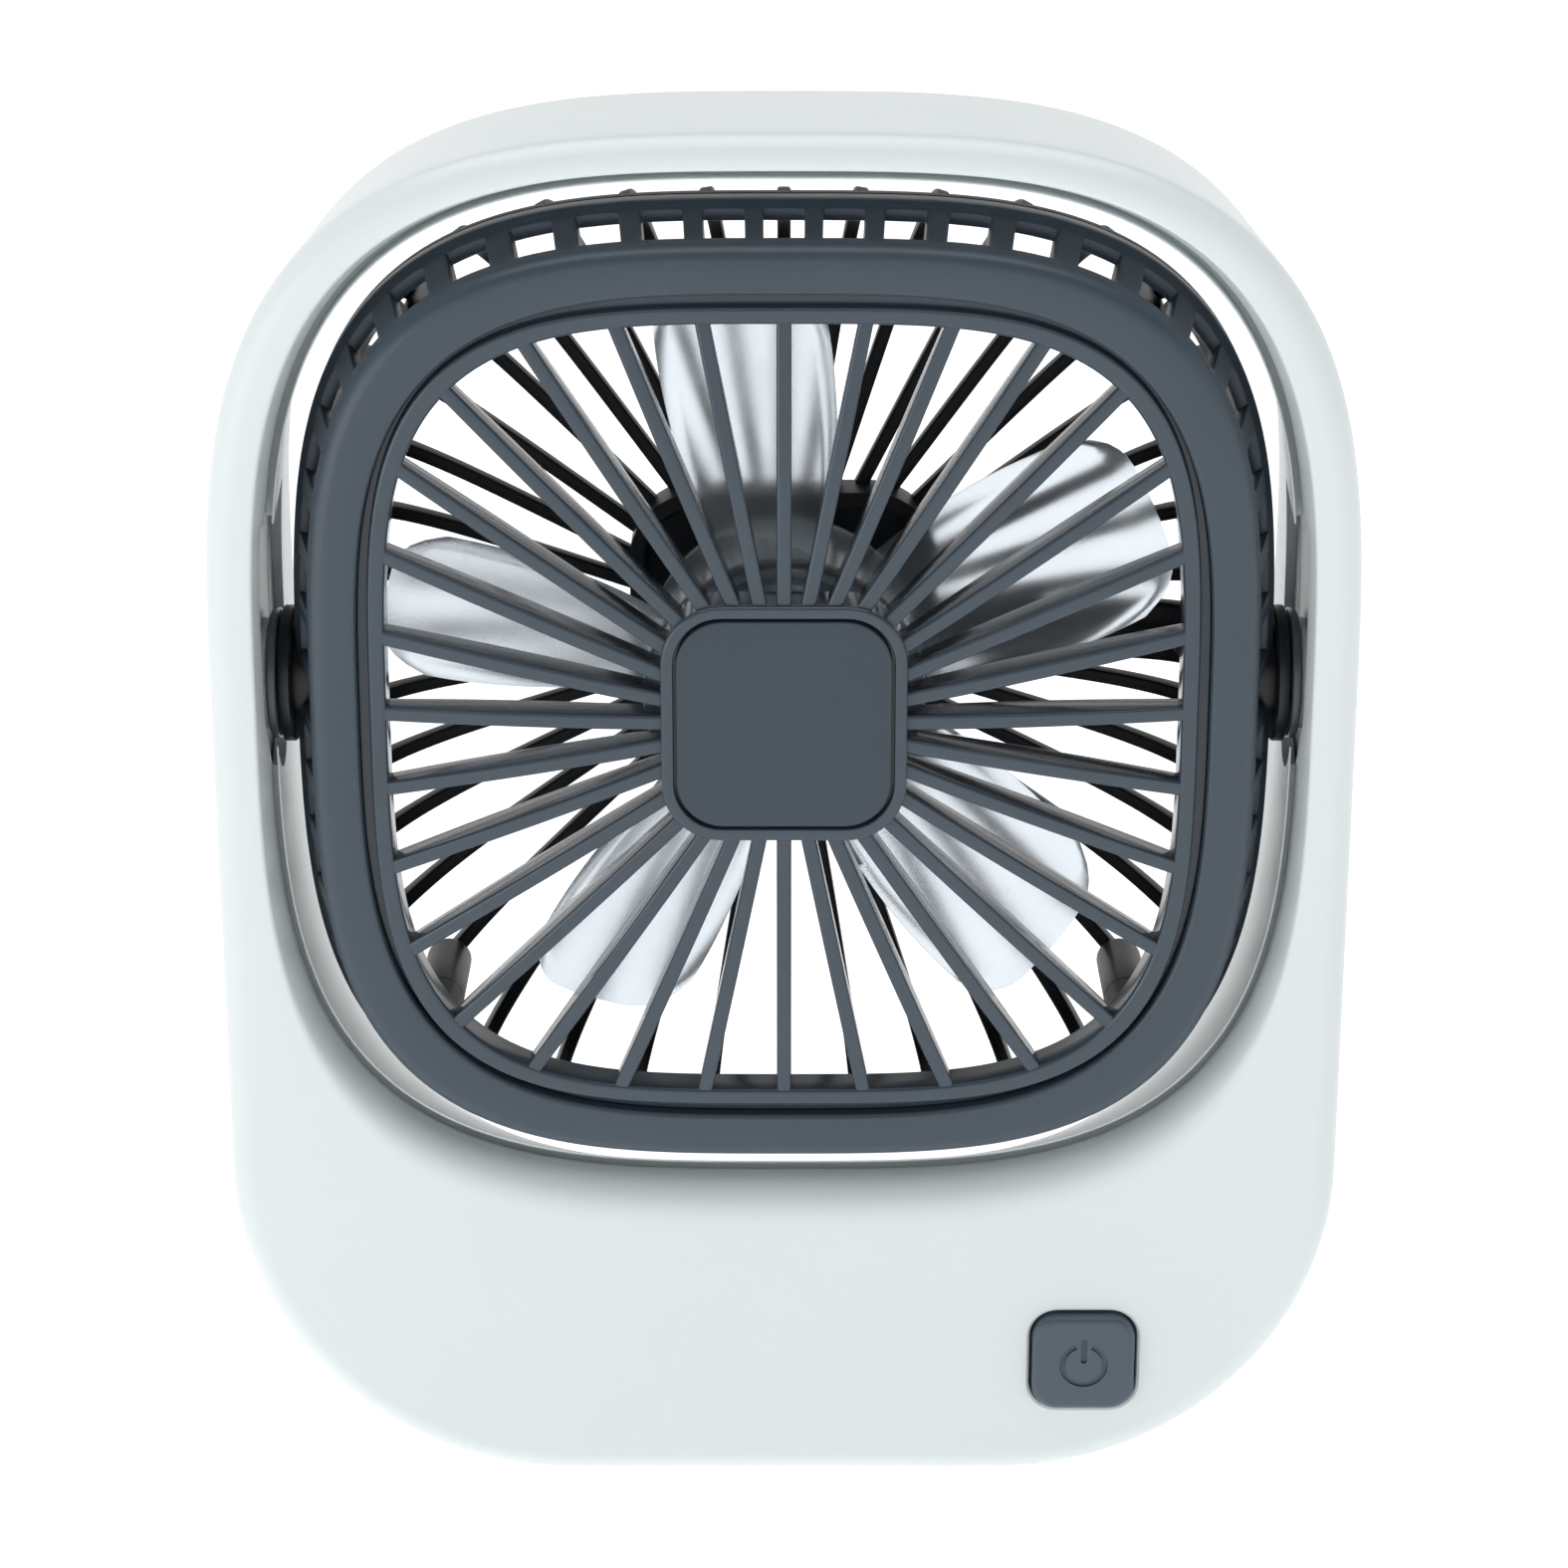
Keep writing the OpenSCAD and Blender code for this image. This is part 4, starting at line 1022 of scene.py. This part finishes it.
def add_blade(builder, middle, across=20, along=24):
    """Pitched blade with a rounded tip and thin edges, sunk a little into the hub."""
    root_r = IMPELLER_R - ROOT_SINK
    top, bottom = [], []
    for v in range(along + 1):
        for u in range(across + 1):
            e = 2 * u / across - 1
            r = root_r + (TIP_R - TIP_DROP * abs(e) ** TIP_POWER - root_r) * v / along
            a = middle + math.radians(e * blade_half(r))
            d = BLADE_D + e * (BLADE_RISE - BLADE_RISE_LOSS * v / along)
            edge = min(1, (1 - abs(e)) / BLADE_EDGE)
            tip = min(1, (along - v) / 2)
            bulge = math.sqrt(max(0.0, 1 - (1 - min(edge, tip)) ** 2))
            half = BLADE_T * bulge * BLADE_T_SHARE + BLADE_EDGE_T
            top.append((r * math.cos(a), d - half, r * math.sin(a)))
            bottom.append((r * math.cos(a), d + half, r * math.sin(a)))
    row = across + 1
    last = len(top)
    faces = []
    for v in range(along):
        for u in range(across):
            a = v * row + u
            faces.append((a, a + 1, a + row + 1, a + row))
            faces.append((a + last, a + row + last, a + row + 1 + last, a + 1 + last))
    border = list(range(across)) + [v * row + across for v in range(along)]
    border += [along * row + u for u in range(across, 0, -1)] + [v * row for v in range(along, 0, -1)]
    for i, a in enumerate(border):
        b = border[(i + 1) % len(border)]
        faces.append((b, a, a + last, b + last))
    builder.add(top + bottom, faces)


def make_impeller():
    hub = Builder()
    r = IMPELLER_R
    outline = [(1.0, 10.2), (1.2, 10.0)]
    outline += arc_profile(r - 1.2, 11.2, 1.2, 270, 360, 7)
    outline += [(r, 27.8), (r - 0.2, 28), (r - 1.1, 28), (r - 1.3, 27.8), (r - 1.3, 12.4), (r - 2.1, 11.6),
                (3.2, 11.6), (3.0, 11.8), (3.0, 14.8), (2.8, 15.0), (1.0, 15.0)]
    hub.turned_tube(outline, 96)
    for i in range(BLADES):
        add_blade(hub, math.radians(BLADE_START + 360 * i / BLADES))
    hub.object("impeller_moulding", CLEAR, "impeller", "blade_clear", BLUNT, ["impeller"])


# ---------------------------------------------------------------- CAD nodes that keep their shape
DRESSED = {
    "housing_screws": STEEL, "head_screws": STEEL, "board_screws": STEEL, "motor_screws": STEEL,
    "trunnion_clips": STEEL, "tact_switch": STEEL, "usb_port": STEEL, "motor_shaft": STEEL,
    "battery_cell": WRAP, "battery_holder": INNER_BLACK, "switch_plunger": INNER_BLACK,
    "control_board": BOARD, "charging_board": BOARD, "charge_light_pipe": PIPE,
    "motor_lead_frame": LEAD, "motor_lead_head": LEAD, "motor_end_cap": IVORY,
    "motor_magnets": MAGNET, "motor_bearings": BRONZE, "motor_armature": COPPER,
}


def dress_nodes():
    for name, material in DRESSED.items():
        for slot in frame["nodes"][name].material_slots:
            slot.material = material


# ---------------------------------------------------------------- studio
FLOOR_HALF = 8.0
NEAR_GLOW, FAR_GLOW = 0.5, 0.85
GLOW_START, GLOW_END = 0.25, 1.2
CAMERA_ELEVATION = math.radians(19.5)
CAMERA_LENS, SENSOR_W = 94.2, 36
CAMERA_D, CAMERA_Z = -416.9, 141.0
SURROUND_TOP, SURROUND_END = 0.2, 0.6
SURROUND_LIGHT, OVERHEAD_LIGHT = 1.0, 0.08
LIGHTS = (
    ("key", (-0.75, -0.6, 0.22), (0.6, 0.5), 1.7),
    ("fill", (0.8, -0.6, 0.22), (0.6, 0.5), 0.1),
    ("top", (0.0, 0.15, 1.3), (1.3, 1.1), 12),
)


def floor_material():
    """Lit white table: matte, glowing evenly, with a barely visible tone drift."""
    s = Shader("studio_table")
    drift = s.spread(s.noise(3, 3.0, 0.5), 0, 1)
    s.put("Base Color", s.mix(drift, (0.90, 0.905, 0.91, 1), (0.93, 0.93, 0.93, 1)))
    s.put("Roughness", s.spread(s.noise(40, 3.0, 0.5), 0.75, 0.9))
    s.put("Normal", s.bump(s.noise(900, 2.0, 0.5), 0.05, 0.0001))
    s.put("Emission Color", (1.0, 1.0, 1.0, 1))
    away = s.node("ShaderNodeVectorMath", operation="LENGTH")
    s.link(s.coords, away.inputs[0])
    glow = s.spread(away.outputs["Value"], NEAR_GLOW, FAR_GLOW, GLOW_START, GLOW_END)
    s.put("Emission Strength", glow)
    return s.material


def make_floor():
    """Flat white table that runs on past the view."""
    points = [(x, y, 0.0) for x, y in ((-FLOOR_HALF, -FLOOR_HALF), (FLOOR_HALF, -FLOOR_HALF),
                                       (FLOOR_HALF, FLOOR_HALF), (-FLOOR_HALF, FLOOR_HALF))]
    mesh = bpy.data.meshes.new("studio_table")
    mesh.from_pydata(points, [], [(0, 1, 2, 3)])
    mesh.materials.append(floor_material())
    floor = bpy.data.objects.new("studio_table", mesh)
    bpy.context.scene.collection.objects.link(floor)


def make_camera():
    """The camera looks down on the fan from straight ahead."""
    data = bpy.data.cameras.new("camera")
    data.lens = CAMERA_LENS
    data.sensor_width = SENSOR_W
    camera = bpy.data.objects.new("camera", data)
    camera.location = place(0, CAMERA_D, CAMERA_Z)
    look = Vector((0, math.cos(CAMERA_ELEVATION), -math.sin(CAMERA_ELEVATION)))
    camera.rotation_euler = look.to_track_quat("-Z", "Y").to_euler()
    bpy.context.scene.collection.objects.link(camera)
    bpy.context.scene.camera = camera


def area_light(name, spot, target, size, power):
    """White rectangular light that faces the target."""
    data = bpy.data.lights.new(name, "AREA")
    data.shape = "RECTANGLE"
    data.size, data.size_y = size
    data.energy = power
    data.color = (1, 1, 1)
    light = bpy.data.objects.new(name, data)
    light.location = spot
    light.rotation_euler = (Vector(target) - Vector(spot)).to_track_quat("-Z", "Y").to_euler()
    bpy.context.scene.collection.objects.link(light)


def make_world():
    """White surround up to a little above the horizon, and darker overhead."""
    world = bpy.data.worlds.new("studio")
    world.use_nodes = True
    tree = world.node_tree
    coords = tree.nodes.new("ShaderNodeTexCoord")
    split = tree.nodes.new("ShaderNodeSeparateXYZ")
    fall = tree.nodes.new("ShaderNodeMapRange")
    fall.interpolation_type = "SMOOTHSTEP"
    fall.inputs["From Min"].default_value = SURROUND_TOP
    fall.inputs["From Max"].default_value = SURROUND_END
    fall.inputs["To Min"].default_value = SURROUND_LIGHT
    fall.inputs["To Max"].default_value = OVERHEAD_LIGHT
    background = tree.nodes["Background"]
    background.inputs["Color"].default_value = (1, 1, 1, 1)
    tree.links.new(coords.outputs["Generated"], split.inputs["Vector"])
    tree.links.new(split.outputs["Z"], fall.inputs["Value"])
    tree.links.new(fall.outputs["Result"], background.inputs["Strength"])
    bpy.context.scene.world = world


def make_lights():
    middle = (0, 0, AXIS.z)
    for name, spot, size, power in LIGHTS:
        area_light(name, spot, middle, size, power)
    make_world()
    bpy.context.scene.view_settings.view_transform = "Standard"


make_camera()
make_floor()
make_lights()
make_front_shell()
make_rear_cover()
make_cover_backing()
make_feet()
make_bush(-1, "left_bush_ring", "left_pivot_bush")
make_bush(1, "right_bush_ring", "right_pivot_bush")
make_button()
make_bezel()
make_grille()
make_hub_cap()
make_rear_shell()
make_trunnion(-1, "left_trunnion_pin", "left_trunnion")
make_trunnion(1, "right_trunnion_pin", "right_trunnion")
make_motor_can()
make_impeller()
dress_nodes()
